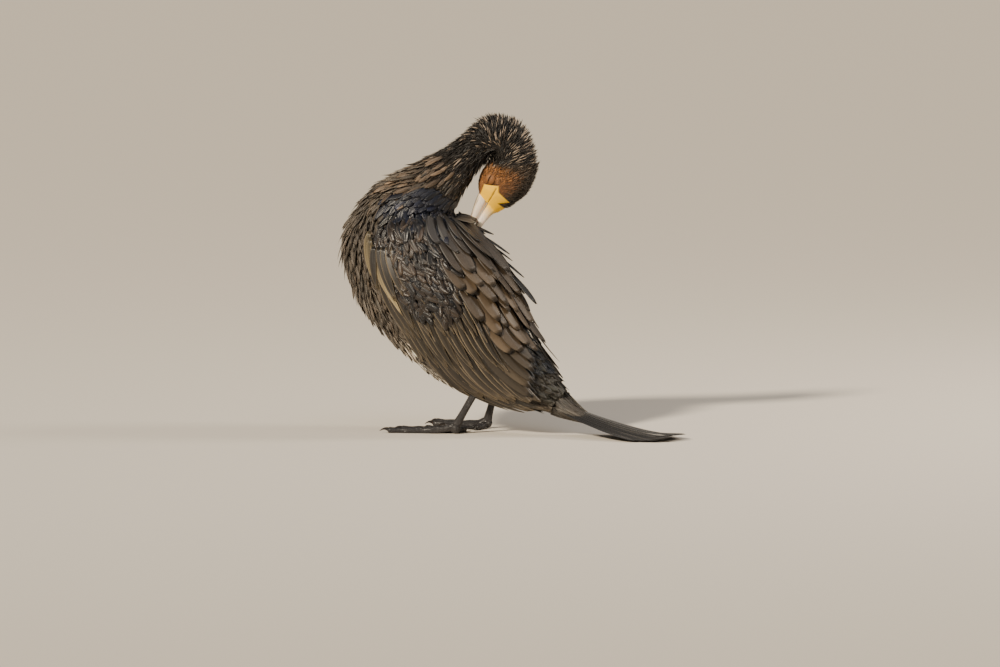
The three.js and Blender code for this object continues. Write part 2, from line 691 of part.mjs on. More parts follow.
const torso = bodyLength(0, CUTS.torsoEnd, 18, 24).add(joined(mantle(0)));
addNode("torso", largest(torso.subtract(billBed)), COLOURS.body, 0.8);
addNode("neck_base", bodyLength(CUTS.torsoEnd, CUTS.neckBaseEnd, 6, 26), COLOURS.neck, 0.8);
addNode("neck_middle", bodyLength(CUTS.neckBaseEnd, CUTS.neckMiddleEnd, 7, 24), COLOURS.neck, 0.8);
addNode("neck_upper", bodyLength(CUTS.neckMiddleEnd, CUTS.neckUpperEnd, 8, 24), COLOURS.neck, 0.8);
addNode("head", head(), COLOURS.face, 0.8);
addNode("upper_bill", upperBill(), COLOURS.bill, 0.4);
addNode("lower_bill", billHalf(LOWER_BILL, 0), COLOURS.bill, 0.4);
addNode("tail", tail(), COLOURS.tail, 0.6);
for (const [name, leg] of Object.entries(LEGS)) {
  addNode(name + "_eye", ball(eyeCentre(leg.side), EYE.ball, 10, 7), COLOURS.eye, 0.1);
  const thighRoom = thigh(leg, GAP);
  const legRoom = thighRoom.add(tarsus(leg, GAP));
  addNode(name + "_wing", largest(wing(leg.side).subtract(billBed).subtract(legRoom)), COLOURS.wing, 0.6);
  addNode(name + "_thigh", largest(thigh(leg, 0).subtract(torsoClear)), COLOURS.body, 0.8);
  const shank = tarsus(leg, 0).subtract(thighRoom).subtract(torsoClear);
  addNode(name + "_tarsus", largest(shank), COLOURS.leg, 0.5);
  addNode(name + "_foot", foot(leg), COLOURS.leg, 0.5);
  for (const [toeName, spec] of Object.entries(TOES)) {
    addNode(name + "_" + toeName + "_claw", claw(leg, spec), COLOURS.claw, 0.35);
  }
}

export default bird;
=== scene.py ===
import bpy
import math
import numpy as np
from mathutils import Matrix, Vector


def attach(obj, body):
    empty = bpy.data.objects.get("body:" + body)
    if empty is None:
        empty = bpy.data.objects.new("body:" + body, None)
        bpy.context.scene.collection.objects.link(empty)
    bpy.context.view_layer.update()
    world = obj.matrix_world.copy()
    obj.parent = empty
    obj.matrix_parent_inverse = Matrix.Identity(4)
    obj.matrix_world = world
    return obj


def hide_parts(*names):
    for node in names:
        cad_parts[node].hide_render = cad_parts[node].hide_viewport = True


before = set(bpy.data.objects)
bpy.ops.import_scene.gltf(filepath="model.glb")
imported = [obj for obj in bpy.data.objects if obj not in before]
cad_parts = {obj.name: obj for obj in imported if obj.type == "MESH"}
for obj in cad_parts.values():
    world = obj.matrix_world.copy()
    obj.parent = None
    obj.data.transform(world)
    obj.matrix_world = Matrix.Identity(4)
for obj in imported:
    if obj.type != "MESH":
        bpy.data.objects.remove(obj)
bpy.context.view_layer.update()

# The camera looks from a long way off at the bird's left side, from a little behind it and a little above. A
# long lens keeps the lines of the bird as level as they are from that far away.
aim, distance = Vector((0.0631, 0.036, 0.1143)), 9.5833
azimuth, elevation = math.radians(25), math.radians(5)
level = math.cos(elevation)
back = Vector((math.sin(azimuth) * level, -math.cos(azimuth) * level, math.sin(elevation)))


def facing(way):
    return way.to_track_quat("-Z", "Y").to_euler()


bpy.ops.object.camera_add(location=aim + back * distance)
camera = bpy.context.object
camera.name = "camera"
camera.data.lens = 300
camera.data.clip_end = 60
camera.rotation_euler = facing(-back)
bpy.context.scene.camera = camera

# The pale floor runs out under the bird on all sides. A low warm sun stands behind the viewer's left
# shoulder, softened as by a thin cloth. A wide cool light fills from above, and a small warm one draws the
# far edges.


def material(name):
    """A new material, its tree of nodes and its shader."""
    look = bpy.data.materials.new(name)
    look.use_nodes = True
    return look, look.node_tree, look.node_tree.nodes["Principled BSDF"]


def feed(tree, node, inputs):
    """Gives each input of a node its value, or links it to the output of another node."""
    for socket, value in inputs.items():
        if isinstance(value, bpy.types.NodeSocket):
            tree.links.new(value, node.inputs[socket])
        else:
            node.inputs[socket].default_value = value


bpy.ops.object.select_all(action="DESELECT")
bpy.ops.mesh.primitive_plane_add(size=24, location=(0, 0, 0))
floor = bpy.context.object
floor.name = "floor"
paint, tree, shader = material("floor_paint")
feed(tree, shader, {"Base Color": (0.72, 0.66, 0.58, 1), "Roughness": 0.9})
floor.data.materials.append(paint)
bpy.ops.object.light_add(type="SUN", location=(-0.6, -2.0, 1.25))
sun = bpy.context.object
sun.name = "sun"
sun.data.energy = 5.6
sun.data.angle = math.radians(7)
sun.data.color = (1, 0.88, 0.7)
sun.rotation_euler = facing(-sun.location)
lit_middle = Vector((0.02, 0.036, 0.18))
for name, place, power, size, colour in [
    ("sky", (0.5, -0.6, 2.2), 9, 1.6, (0.82, 0.9, 1)),
    ("rim", (1.5, 1.0, 1.3), 22, 0.6, (1, 0.9, 0.78)),
]:
    bpy.ops.object.light_add(type="AREA", location=place)
    light = bpy.context.object
    light.name = name
    light.data.energy = power
    light.data.size = size
    light.data.color = colour
    light.rotation_euler = facing(lit_middle - light.location)
world = bpy.data.worlds.new("studio")
bpy.context.scene.world = world
world.use_nodes = True
feed(world.node_tree, world.node_tree.nodes["Background"], {"Color": (0.96, 0.9, 0.82, 1), "Strength": 0.19})

# The skin runs without a seam from the root of the tail over the trunk, the folded wings, the bent neck and
# the head to the root of the bill. It is laid in rings round the body's curved axis, a little under the
# plumage.
body_stations = np.array([
    # back x, z, then breast or throat x, z, then half width and how far the neck has swung round to the right
    (160, 50, 144, 25, 16, 0), (147, 68, 80, 33, 34, 0), (113, 106, 16, 52, 50, 0),
    (84, 156, -43, 91, 60, 0), (53, 199, -97, 147, 62, 0), (27, 230, -119, 214, 57, 0),
    (10, 250, -88, 273, 43, 0), (19, 267, -33, 306, 29, 12), (35, 292, 13, 333, 21.5, 22),
    (48, 311, 49, 358, 20, 25), (55, 315.4, 87, 352, 20, 25), (53.8, 309.7, 104.4, 315, 20, 25),
    (48, 304, 103, 295, 20.5, 25), (42.3, 294, 96.4, 276, 20, 25), (40, 284, 80.5, 261, 16.5, 25),
    (40.8, 273, 62, 250, 9.5, 25),
])
last_station = len(body_stations) - 1
neck_pivot, frame_shift, mm = -39, (-13, 36), 0.001


def through(points, k):
    """A smooth line through points, read at station k, with its speed set by how far apart the points are."""
    ends = np.vstack([2 * points[0] - points[1], points, 2 * points[-1] - points[-2]])
    i = np.clip(np.floor(k).astype(int), 0, len(points) - 2)
    w = (k - i)[..., None]
    p0, p1, p2, p3 = (ends[i + n] for n in range(4))
    gap = [np.maximum(np.linalg.norm(b - a, axis=-1, keepdims=True) ** 0.5, 1e-3)
           for a, b in ((p0, p1), (p1, p2), (p2, p3))]
    t1 = ((p1 - p0) / gap[0] - (p2 - p0) / (gap[0] + gap[1]) + (p2 - p1) / gap[1]) * gap[1]
    t2 = ((p2 - p1) / gap[1] - (p3 - p1) / (gap[1] + gap[2]) + (p3 - p2) / gap[2]) * gap[1]
    return p1 + t1 * w + (3 * (p2 - p1) - 2 * t1 - t2) * w**2 + (2 * (p1 - p2) + t1 + t2) * w**3


def in_frame(x, y, z, turn):
    """A point of the bird's plane in millimetres, swung round the neck's pivot, in the frame's metres."""
    a = np.radians(turn)
    reach = x - neck_pivot
    across = neck_pivot + reach * np.cos(a) - y * np.sin(a) + frame_shift[0]
    return np.stack([across, reach * np.sin(a) + y * np.cos(a) + frame_shift[1], z], axis=-1) * mm


def bare_body(k, phi, turned=True):
    """The body's own surface at station k and angle phi, in degrees from the back over the left side."""
    k = np.clip(k, 0, last_station)
    back_line = through(body_stations[:, 0:2], k)
    front_line = through(body_stations[:, 2:4], k)
    half, turn = np.moveaxis(through(body_stations[:, 4:6], k), -1, 0)
    a = np.radians(phi)
    mid, rise = (back_line + front_line) / 2, (back_line - front_line) / 2
    flat = mid + rise * np.cos(a)[..., None]
    if not turned:
        return flat
    return in_frame(flat[..., 0], -half * np.sin(a), flat[..., 1], turn)


def outward(k, phi):
    along = bare_body(k + 0.02, phi) - bare_body(k - 0.02, phi)
    across = bare_body(k, phi + 1) - bare_body(k, phi - 1)
    n = np.cross(along, across)
    return n / np.maximum(np.linalg.norm(n, axis=-1, keepdims=True), 1e-12)


def side_angle(phi):
    """The angle from the back, from -180 to 180 degrees, above zero on the left side."""
    return (phi + 180) % 360 - 180


def ramp(value, start, span):
    """Rises from 0 at the start to 1 a span away. With a span below zero it rises towards smaller values."""
    return np.clip((value - start) / span, 0, 1)


def arm_depth(k, phi):
    """How far the folded arm of the wing lifts the surface, in millimetres."""
    rump_end, span, highest = 2.4, 3.22, 14
    v = (k - rump_end) / span
    front_edge = np.interp(k, [2.4, 3.2, 4.0, 4.8, 5.3, 5.62], [120, 109, 101, 98, 95, 84])
    back_edge = np.interp(k, [2.4, 3.6, 4.6, 5.3, 5.62], [44, 26, 14, 14, 30])
    u = (np.abs(side_angle(phi)) - front_edge) / (back_edge - front_edge)
    inside = (v > 0) & (v < 1) & (u > 0) & (u < 1)
    crown = np.sin(np.pi * np.clip(u, 0, 1)) ** 0.6
    swell = np.sin(np.pi * np.clip(0.02 + 0.9 * np.clip(v, 0, 1) ** 0.8, 0, 1)) ** 0.7
    fade = ramp(v, 1, -0.12) * ramp(v, 0, 0.15)
    return np.where(inside, highest * crown * swell * fade, 0)


def body(k, phi, height):
    """The surface of the whole bird at a height over it, in millimetres."""
    return bare_body(k, phi) + outward(k, phi) * ((height + arm_depth(k, phi)) * mm)[..., None]


def linear(r, g, b):
    """A colour as the eye reads it, from 0 to 255, as the light it sends."""
    c = np.array([r, g, b]) / 255
    return np.where(c <= 0.04045, c / 12.92, ((c + 0.055) / 1.055) ** 2.4)


def speckle(k, phi, size):
    """Soft patches over the plumage, from 0 to 1, the same on the skin and on the feathers over it."""
    p = bare_body(k, phi) * 1000 / size
    waves = sum(np.sin(p @ np.array(d) + shift) for d, shift in (
        ((1.0, 0.7, -0.4), 0.3), ((-0.5, 1.1, 0.9), 1.9), ((0.3, -1.3, 0.8), 4.1), ((1.4, 0.2, 1.2), 2.6)))
    return np.clip(0.5 + waves / 4, 0, 1)


def face_marks(k, phi):
    """Places on the head, from 0 to 1: the bare yellow skin, the crease over it and the line of the mouth,
    whose dark colour is painted shade.
    """
    x, z = np.moveaxis(bare_body(k, phi, turned=False), -1, 0)
    brow_line = 284.4 - 0.115 * (x - 46.5)
    bare = np.minimum.reduce([
        brow_line - z,
        x - 41.2 - 0.37 * (z - 270),
        np.where(z > 274.2, 64.2, 64.4 + 1.05 * (274.2 - z)) - x,
    ])
    throat_wedge = (x - 61.5) * 0.42 - np.abs(z - 261.5 + 0.35 * (x - 62))
    bare = np.minimum(ramp(bare, 0, 1.1), 1 - ramp(throat_wedge, 0, 1.2))
    shaded_crease = np.clip(1.3 - np.abs(z - brow_line - 0.3), 0, 1) * ramp(x, 46, 3) * ramp(x, 64, -3)
    off_mouth = np.abs(np.abs(side_angle(phi)) - 82 - 4.2 * (k - 13.6))
    shaded_mouth = np.clip(1.6 - off_mouth / 1.6, 0, 1) * ramp(k, 13.45, 0.2)
    on_head = k > 12.8
    return np.where(on_head, bare, 0), np.where(on_head, shaded_crease, 0), shaded_mouth


def plumage(k, phi):
    """The colour of the bird at a place on its body, and how pale the fringes of the feathers are there."""
    away = np.abs(side_angle(phi))
    patches = speckle(k, phi, 9)
    bare, shaded_crease, shaded_mouth = face_marks(k, phi)
    tone, fringe = linear(46, 37, 29), np.full(k.shape, 0.35)
    for colour, share, pale in (
        # the underside, the mottled belly, the glossy back, the rump
        ((56, 44, 34), ramp(away, 92, 26) * ramp(k, 6.9, -0.8) * (0.3 + 0.7 * patches), 1.0),
        ((222, 210, 192), ramp(away, 122, 14) * ramp(k, 0.9, 0.4) * ramp(k, 3.4, -0.5)
         * np.clip(2.6 * patches, 0, 1), 0.9),
        ((12, 14, 20), ramp(away, 100, -30) * ramp(k, 2.6, 0.6) * ramp(k, 7.4, -1.2), 0.1),
        ((24, 26, 23), ramp(away, 100, -20) * ramp(k, 3.2, -0.5), 0.25),
        # the neck and its streaked foot, the nape, the crown, the cheeks
        ((17, 13, 11), ramp(k, 6.9, 0.8), 0.35),
        ((62, 48, 36), ramp(k, 6.2, 0.5) * ramp(k, 7.9, -0.7) * ramp(away, 75, 30)
         * np.clip(1.6 * patches - 0.1, 0, 1), 1.0),
        ((52, 37, 26), ramp(k, 11.4, 0.6) * ramp(away, 150, -60), 0.4),
        ((216, 142, 66), ramp(k, 11.9, 0.6) * ramp(away, 100, -30), 0.5),
        ((166, 106, 54), ramp(k, 12.0, 0.6) * ramp(away, 126, -26) * 0.7, None),
        # the bare skin, and painted shade in the crease over it and in the line of the mouth
        ((252, 194, 4), bare, 0),
        ((60, 34, 16), 0.85 * np.maximum(shaded_crease, shaded_mouth * (bare > 0)), None),
    ):
        share = np.clip(share, 0, 1)
        tone = tone * (1 - share[..., None]) + linear(*colour) * share[..., None]
        if pale is not None:
            fringe = fringe * (1 - share) + pale * share
    return tone, fringe


def faces_out(piece):
    """Turns every face of a piece outwards."""
    bpy.ops.object.select_all(action="DESELECT")
    bpy.context.view_layer.objects.active = piece
    piece.select_set(True)
    bpy.ops.object.mode_set(mode="EDIT")
    bpy.ops.mesh.select_all(action="SELECT")
    bpy.ops.mesh.normals_make_consistent(inside=False)
    bpy.ops.object.mode_set(mode="OBJECT")


def ringed(name, rings):
    """A closed body through rings of points: a disc is pulled up ring by ring and then set on its places."""
    count, sides = rings.shape[:2]
    bpy.ops.object.select_all(action="DESELECT")
    bpy.ops.mesh.primitive_circle_add(vertices=sides, radius=1, fill_type="NGON", location=(0, 0, 0))
    piece = bpy.context.object
    piece.name = name
    bpy.ops.object.mode_set(mode="EDIT")
    for _ in range(count - 1):
        bpy.ops.mesh.extrude_region_move(TRANSFORM_OT_translate={"value": (0, 0, 1)})
    bpy.ops.object.mode_set(mode="OBJECT")
    flat = np.empty(len(piece.data.vertices) * 3, dtype=np.float32)
    piece.data.vertices.foreach_get("co", flat)
    flat = flat.reshape(-1, 3)
    ring = np.rint(flat[:, 2]).astype(int)
    turn = np.rint(np.arctan2(flat[:, 1], flat[:, 0]) / (2 * np.pi) * sides).astype(int) % sides
    piece.data.vertices.foreach_set("co", rings[ring, turn].astype(np.float32).ravel())
    faces_out(piece)
    bpy.ops.object.shade_smooth()
    return piece, ring, turn


def tinted(mesh, tone, share):
    """Gives each point of a mesh its colour, and a fourth value: how bare it is, or how pale its fringe."""
    colours = np.empty((len(mesh.vertices), 4), dtype=np.float32)
    colours[:, :3], colours[:, 3] = tone, share
    mesh.color_attributes.new("tint", "FLOAT_COLOR", "POINT").data.foreach_set("color", colours.ravel())


def node(tree, kind, inputs):
    made = tree.nodes.new("ShaderNode" + kind)
    feed(tree, made, inputs)
    return made


def own_tint(tree):
    """The colour that each point of the mesh brings with it."""
    tint = node(tree, "Attribute", {})
    tint.attribute_name = "tint"
    return tint.outputs


def in_place(tree, kind, scale):
    """A texture laid through the object's own space."""
    return node(tree, kind, {"Vector": node(tree, "TexCoord", {}).outputs["Object"], "Scale": scale})


def dents(tree, height, strength, depth):
    """The normals of a surface with fine dents."""
    return node(tree, "Bump", {"Height": height, "Strength": strength, "Distance": depth}).outputs["Normal"]


ring_k = np.concatenate([np.linspace(0, 12, 120, endpoint=False), np.linspace(12, 15, 100)])
side_phi = np.arange(144) * 2.5
grid_k, grid_phi = np.meshgrid(ring_k, side_phi, indexing="ij")
bare, shaded_crease, shaded_mouth = face_marks(grid_k, grid_phi)
depth = np.interp(grid_k, [0, 6, 9, 12, 13.5, 15], [-2.2, -2.2, -1.6, -1.2, -0.5, -0.4])
depth = depth * (1 - bare) + 0.2 * bare - 0.9 * np.maximum(shaded_crease, shaded_mouth * bare)
skin, ring, turn = ringed("skin", body(grid_k, grid_phi, depth))
k, phi = ring_k[ring], side_phi[turn]
bare = face_marks(k, phi)[0]
# Where feathers cover it, the skin is painted at half the colour of the plumage over it: painted shade under
# the feathers. Bare skin keeps its full colour.
tinted(skin.data, plumage(k, phi)[0] * (0.5 + 0.5 * bare)[:, None], bare)
corner = np.empty(len(skin.data.loops), dtype=int)
skin.data.loops.foreach_get("vertex_index", corner)
spot = 0.02 + 0.96 * np.stack([phi / 360, k / last_station], axis=1)
skin.data.uv_layers.new(name="OFBake").data.foreach_set("uv", spot[corner].astype(np.float32).ravel())
skin_look, tree, shader = material("skin_under_plumage")
pores = in_place(tree, "TexVoronoi", 900)
feed(tree, shader, {"Base Color": own_tint(tree)["Color"], "Roughness": 0.6,
                    "Normal": dents(tree, pores.outputs["Distance"], 0.5, 0.3 * mm)})
skin.data.materials.append(skin_look)
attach(skin, "root")
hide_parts("torso", "neck_base", "neck_middle", "neck_upper", "head", "left_wing", "right_wing")

# The small feathers of the trunk are loose and round-tipped, each with a fine shaft and a paler fringe. They
# lie in staggered rows from the neck to the tail, longest on the belly, and leave the folded wings to their
# own feathers.
random = np.random.default_rng(7)


def quads(grid):
    """The corners of every square in a grid of point numbers."""
    return np.stack([grid[:-1, :-1], grid[1:, :-1], grid[1:, 1:], grid[:-1, 1:]], axis=-1).reshape(-1, 4)


def vanes(name, spine, normal, half, outline, columns, roll, camber, thick, tint, place):
    """Many feathers in one mesh, each a thin closed blade over its spine, with a ridge at its shaft."""
    n, rows = spine.shape[:2]
    forward = np.gradient(spine, axis=1)
    forward /= np.maximum(np.linalg.norm(forward, axis=-1, keepdims=True), 1e-9)
    across = np.cross(normal, forward)
    across /= np.maximum(np.linalg.norm(across, axis=-1, keepdims=True), 1e-9)
    up = np.cross(forward, across)
    a = np.broadcast_to(roll, (n,))[:, None, None]
    side, rise = across * np.cos(a) - up * np.sin(a), up * np.cos(a) + across * np.sin(a)
    q = np.linspace(-1, 1, columns + 1)
    width = (half[:, None] * outline[None, :])[:, :, None, None]
    arch = -camber * q**2 + 0.06 * (np.abs(q) < 0.01)
    top = spine[:, :, None] + side[:, :, None] * width * q[:, None] + rise[:, :, None] * width * arch[:, None]
    below = top[:, 1:-1, 1:-1] - rise[:, 1:-1, None] * thick
    per_top, per_below = rows * (columns + 1), (rows - 2) * (columns - 1)
    each = per_top + per_below
    points = np.concatenate([top.reshape(n, per_top, 3), below.reshape(n, per_below, 3)], axis=1)
    upper = np.arange(per_top).reshape(rows, columns + 1)
    lower = upper.copy()
    lower[1:-1, 1:-1] = per_top + np.arange(per_below).reshape(rows - 2, columns - 1)
    faces = np.concatenate([quads(upper), quads(lower)[:, ::-1]])
    faces = (faces[None] + (np.arange(n) * each)[:, None, None]).reshape(-1, 4)
    loops = faces.ravel()
    vane_v, vane_u = np.meshgrid(np.linspace(0, 1, rows), (q + 1) / 2, indexing="ij")
    flat = np.stack([vane_u, vane_v], axis=-1)
    flat = np.concatenate([flat.reshape(per_top, 2), flat[1:-1, 1:-1].reshape(per_below, 2)])
    mesh = bpy.data.meshes.new(name)
    mesh.vertices.add(len(points) * points.shape[1])
    mesh.vertices.foreach_set("co", points.astype(np.float32).ravel())
    mesh.loops.add(faces.size)
    mesh.loops.foreach_set("vertex_index", loops.astype(np.int32))
    mesh.polygons.add(len(faces))
    mesh.polygons.foreach_set("loop_start", np.arange(0, faces.size, 4, dtype=np.int32))
    mesh.polygons.foreach_set("use_smooth", np.ones(len(faces), dtype=bool))
    mesh.update(calc_edges=True)
    blade = mesh.uv_layers.new(name="blade")
    blade.data.foreach_set("uv", np.tile(flat, (n, 1))[loops].astype(np.float32).ravel())
    patch = mesh.uv_layers.new(name="OFBake")
    spot = (0.02 + 0.95 * place)[:, None, :] + 0.003 * flat[None]
    patch.data.foreach_set("uv", spot.reshape(-1, 2)[loops].astype(np.float32).ravel())
    tone, share = tint
    tinted(mesh, np.repeat(tone, each, axis=0), np.repeat(np.broadcast_to(share, n), each))
    piece = bpy.data.objects.new(name, mesh)
    bpy.context.scene.collection.objects.link(piece)
    return piece


def pace(k, phi, gap):
    """How many millimetres of the body's surface one station takes there."""
    return np.linalg.norm(bare_body(k + gap, phi) - bare_body(k - gap, phi), axis=1) * 1000 / (2 * gap)


def scattered(k_from, k_to, row_gap, side_gap, keep=None):
    """Roots in staggered rows between two stations, uneven, and thinned where the neck's fold crowds them."""
    roots, angles = [], np.arange(24) * 15.0
    k, odd = k_from, 0
    while k < k_to:
        station = np.full(24, k)
        ring = bare_body(station, angles) * 1000
        girth = np.linalg.norm(ring - np.roll(ring, 1, axis=0), axis=1).sum()
        speed = pace(station, angles, 0.01)
        step = row_gap / np.median(speed)
        count = int(girth / side_gap)
        phi = (np.arange(count) + 0.5 * odd) * 360 / count + random.normal(0, 0.22, count) * 360 / count
        row = np.full(count, k) + random.normal(0, 0.25, count) * step
        local = np.interp(phi % 360, np.append(angles, 360), np.append(speed, speed[0])) * step
        stay = random.random(count) < np.clip(local / row_gap, 0.12, 1)
        roots.append(np.stack([row[stay], phi[stay]], axis=1))
        k, odd = k + step, 1 - odd
    roots = np.concatenate(roots)
    roots[:, 0] = np.clip(roots[:, 0], 0.02, last_station - 0.02)
    return roots if keep is None else roots[keep(*roots.T)]


def lying(roots, length, rows, height, lift, curl, sway, slip=1):
    """The spines of short feathers from their roots towards the tail over the body, and the normals there."""
    k, phi = roots.T
    reach = np.minimum(length / pace(k, phi, 0.02), 0.75) * slip
    s = np.linspace(0, 1, rows)[None]
    ks = np.clip(k[:, None] - reach[:, None] * s, 0, last_station)
    phis = phi[:, None] + sway[:, None] * s
    rise = np.broadcast_to(lift, k.shape)[:, None] * s + np.broadcast_to(curl, k.shape)[:, None] * s**2
    over_skin = np.broadcast_to(height, k.shape)[:, None] + length[:, None] * rise
    return body(ks, phis, over_skin), outward(ks, phis)


def spot_on_skin(roots):
    return np.stack([(roots[:, 1] % 360) / 360, roots[:, 0] / last_station], axis=1)


def uneven(count, spread, middle=0):
    """A column of factors that make feathers a little lighter or darker than their neighbours."""
    return np.exp(random.normal(middle, spread, count))[:, None]


def shaded(roots, spread):
    """Each feather's own tint, from the colour of the body at its root."""
    tone, fringe = plumage(*roots.T)
    tone = np.clip(tone * uneven(len(roots), spread), 0, 1)
    return tone, fringe * random.uniform(0.6, 1.2, len(roots))


def away_from_wings(k, phi):
    return (arm_depth(k, phi) < 2.5) | (random.random(len(k)) < 0.15)


def feather_look(name, gloss, gloss_colour, rough, **marks):
    """The finish of a kind of feather: fine slanting barbs, with a fringe and a shaft of other colours, and
    painted shade that darkens each feather towards its root.
    """
    look, tree, shader = material(name)
    tint = own_tint(tree)
    blade = node(tree, "UVMap", {})
    blade.uv_map = "blade"
    pattern = node(tree, "Group", {})
    pattern.node_tree = blade_pattern
    feed(tree, pattern, {"Tint": tint["Color"], "Pale": tint["Alpha"], "Blade": blade.outputs["UV"], **marks})
    feed(tree, shader, {"Base Color": pattern.outputs["Colour"], "Roughness": rough, "Sheen Weight": gloss,
                        "Sheen Roughness": 0.35, "Sheen Tint": gloss_colour,
                        "Normal": dents(tree, pattern.outputs["Height"], 0.55, 0.4 * mm)})
    return look


blade_pattern = bpy.data.node_groups.new("blade_pattern", "ShaderNodeTree")
for way, kind, labels in (
    ("INPUT", "Color", ("Tint", "Fringe")), ("INPUT", "Vector", ("Blade",)),
    ("INPUT", "Float", ("Pale", "Edge", "Narrow", "Heart", "Shaft", "Streaks")),
    ("OUTPUT", "Color", ("Colour",)), ("OUTPUT", "Float", ("Height",)),
):
    for label in labels:
        blade_pattern.interface.new_socket(label, in_out=way, socket_type="NodeSocket" + kind)
given = blade_pattern.nodes.new("NodeGroupInput").outputs


def sums(operation, *values, clamp=False):
    """One step of arithmetic in the pattern; each value is a number or another step's result."""
    step = node(blade_pattern, "Math", {})
    step.operation = operation
    step.use_clamp = clamp
    feed(blade_pattern, step, dict(enumerate(values)))
    return step.outputs[0]


def scaled(tree, colour, factor):
    step = node(tree, "VectorMath", {})
    step.operation = "SCALE"
    feed(tree, step, {0: colour, "Scale": factor})
    return step.outputs["Vector"]


def over(tree, base, top, share):
    mix = node(tree, "Mix", {})
    mix.data_type = "RGBA"
    feed(tree, mix, {"Factor": share, "A": base, "B": top})
    return mix.outputs["Result"]


split = node(blade_pattern, "SeparateXYZ", {0: given["Blade"]}).outputs
off_shaft, to_tip = sums("ABSOLUTE", sums("MULTIPLY_ADD", split["X"], 2.0, -1.0)), split["Y"]
barbs = sums("SINE", sums("MULTIPLY_ADD", off_shaft, -34.0, sums("MULTIPLY", to_tip, 150.0)))
barbs = sums("MULTIPLY_ADD", barbs, 0.5, 0.5)
rim = sums("MAXIMUM", sums("POWER", off_shaft, given["Narrow"]),
           sums("POWER", to_tip, sums("MULTIPLY_ADD", given["Narrow"], 2.0, 4.0)))
rim = sums("MULTIPLY", sums("MULTIPLY", rim, given["Edge"]), given["Pale"], clamp=True)
shaft_line = sums("MULTIPLY", sums("LESS_THAN", off_shaft, 0.09),
                  sums("SUBTRACT", 1.0, sums("POWER", to_tip, 6.0)))
streaky = sums("MULTIPLY", sums("MULTIPLY", barbs, given["Streaks"]), given["Pale"])
dark_heart = sums("MULTIPLY", sums("POWER", sums("SUBTRACT", 1.0, off_shaft), 1.6), given["Heart"])
shade = sums("MULTIPLY", sums("MULTIPLY_ADD", barbs, 0.3, 0.82), sums("SUBTRACT", 1.0, dark_heart))
# Each feather is painted darker towards its root and paler towards its tip: painted shade where the feather
# above overlaps it.
shade = sums("MULTIPLY", shade, sums("MULTIPLY_ADD", to_tip, 0.8, 0.4))
painted = over(blade_pattern, scaled(blade_pattern, given["Tint"], shade), given["Fringe"], rim)
painted = over(blade_pattern, painted, given["Fringe"], sums("MULTIPLY", streaky, 0.5))
painted = over(blade_pattern, painted, (0.42, 0.36, 0.28, 1), sums("MULTIPLY", shaft_line, given["Shaft"]))
relief = sums("ADD", sums("MULTIPLY", barbs, 0.35), shaft_line)
feed(blade_pattern, blade_pattern.nodes.new("NodeGroupOutput"), {"Colour": painted, "Height": relief})

body_look = feather_look("body_feather", Fringe=(0.58, 0.49, 0.38, 1), Edge=0.85, Narrow=4, Heart=0.55,
                         Shaft=0.1, Streaks=0.3, gloss=0.02, gloss_colour=(0.9, 0.85, 0.8, 1), rough=0.5)
round_tip = np.array([0.35, 0.85, 1.0, 0.86, 0.12])
roots = scattered(0.25, 7.6, 3.9, 4.4, away_from_wings)
k, phi = roots.T
count = len(k)
breast = ramp(np.abs(side_angle(phi)), 95, 30) * ramp(k, 3, 0.8)
length = np.interp(k, [0, 1, 3, 5, 7.6], [17, 21, 22, 21, 18]) * random.uniform(0.75, 1.25, count)
lift = np.clip(random.normal(0.08, 0.06, count) + random.uniform(0.06, 0.24, count) * breast, 0.01, 0.45)
curl = random.normal(-0.03, 0.05, count)
spine, normal = lying(roots, length, 5, -1.8, lift, curl, random.normal(0, 4, count))
half = length * mm * (0.15 - 0.055 * breast) * random.uniform(0.8, 1.2, count)
trunk = vanes("trunk_feathers", spine, normal, half, round_tip, columns=2, roll=random.normal(0, 0.3, count),
              camber=0.25, thick=0.2 * mm, tint=shaded(roots, 0.6), place=spot_on_skin(roots))
trunk.data.materials.append(body_look)
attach(trunk, "root")

# The neck is covered with narrow pointed feathers. Round the outer side of the bend, where the skin is
# stretched, they stand almost straight away from it in a fan, and pale ones are mixed in among the dark.
neck_look = feather_look("neck_feather", Fringe=(0.32, 0.25, 0.19, 1), Edge=0.2, Narrow=3, Heart=0.2,
                         Shaft=0.15, Streaks=0.15, gloss=0.04, gloss_colour=(0.9, 0.85, 0.8, 1), rough=0.42)
spike = np.array([0.5, 1.0, 0.85, 0.5, 0.06])
roots = scattered(6.9, 12.25, 2.4, 2.3)
k, phi = roots.T
count = len(k)
signed = side_angle(phi)
away = np.abs(signed)
hackled = np.interp(k, [8.2, 9.2, 11.6, 12.3], [0, 1, 1, 0.35]) * ramp(away, 48, 40)
length = np.interp(k, [6.9, 8, 10, 12.7], [17, 13, 10.5, 7.5]) * random.uniform(0.75, 1.25, count)
loose = ramp(away, 60, -20) * np.interp(k, [8.5, 9.5, 12, 12.6], [0, 1, 1, 0])
length = length * (1 + 0.5 * loose)
lift = np.clip(random.normal(0.1, 0.06, count) + 0.5 * hackled * ramp(away, 60, 90), 0.02, 0.75)
lift = lift + 0.3 * loose * random.uniform(0.3, 1, count)
outward_sway = np.minimum(np.degrees(length / 21) * 0.85, (180 - away) * 0.7) * np.sign(signed) * hackled
spine, normal = lying(roots, length, 5, -1.2, lift, random.normal(0.0, 0.05, count),
                      outward_sway + random.normal(0, 5, count), 1 - 0.78 * hackled)
tone, share = shaded(roots, 0.35)
pale = (random.random(count) < 0.24 * hackled + 0.06)[:, None]
tone = np.where(pale, linear(206, 184, 162) * random.uniform(0.3, 1.1, count)[:, None], tone)
neck = vanes("neck_feathers", spine, normal, length * 0.06 * mm * random.uniform(0.8, 1.3, count), spike,
             columns=2, roll=random.normal(0, 0.5, count), camber=0.3, thick=0.15 * mm, tint=(tone, share),
             place=spot_on_skin(roots))
neck.data.materials.append(neck_look)
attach(neck, "root")

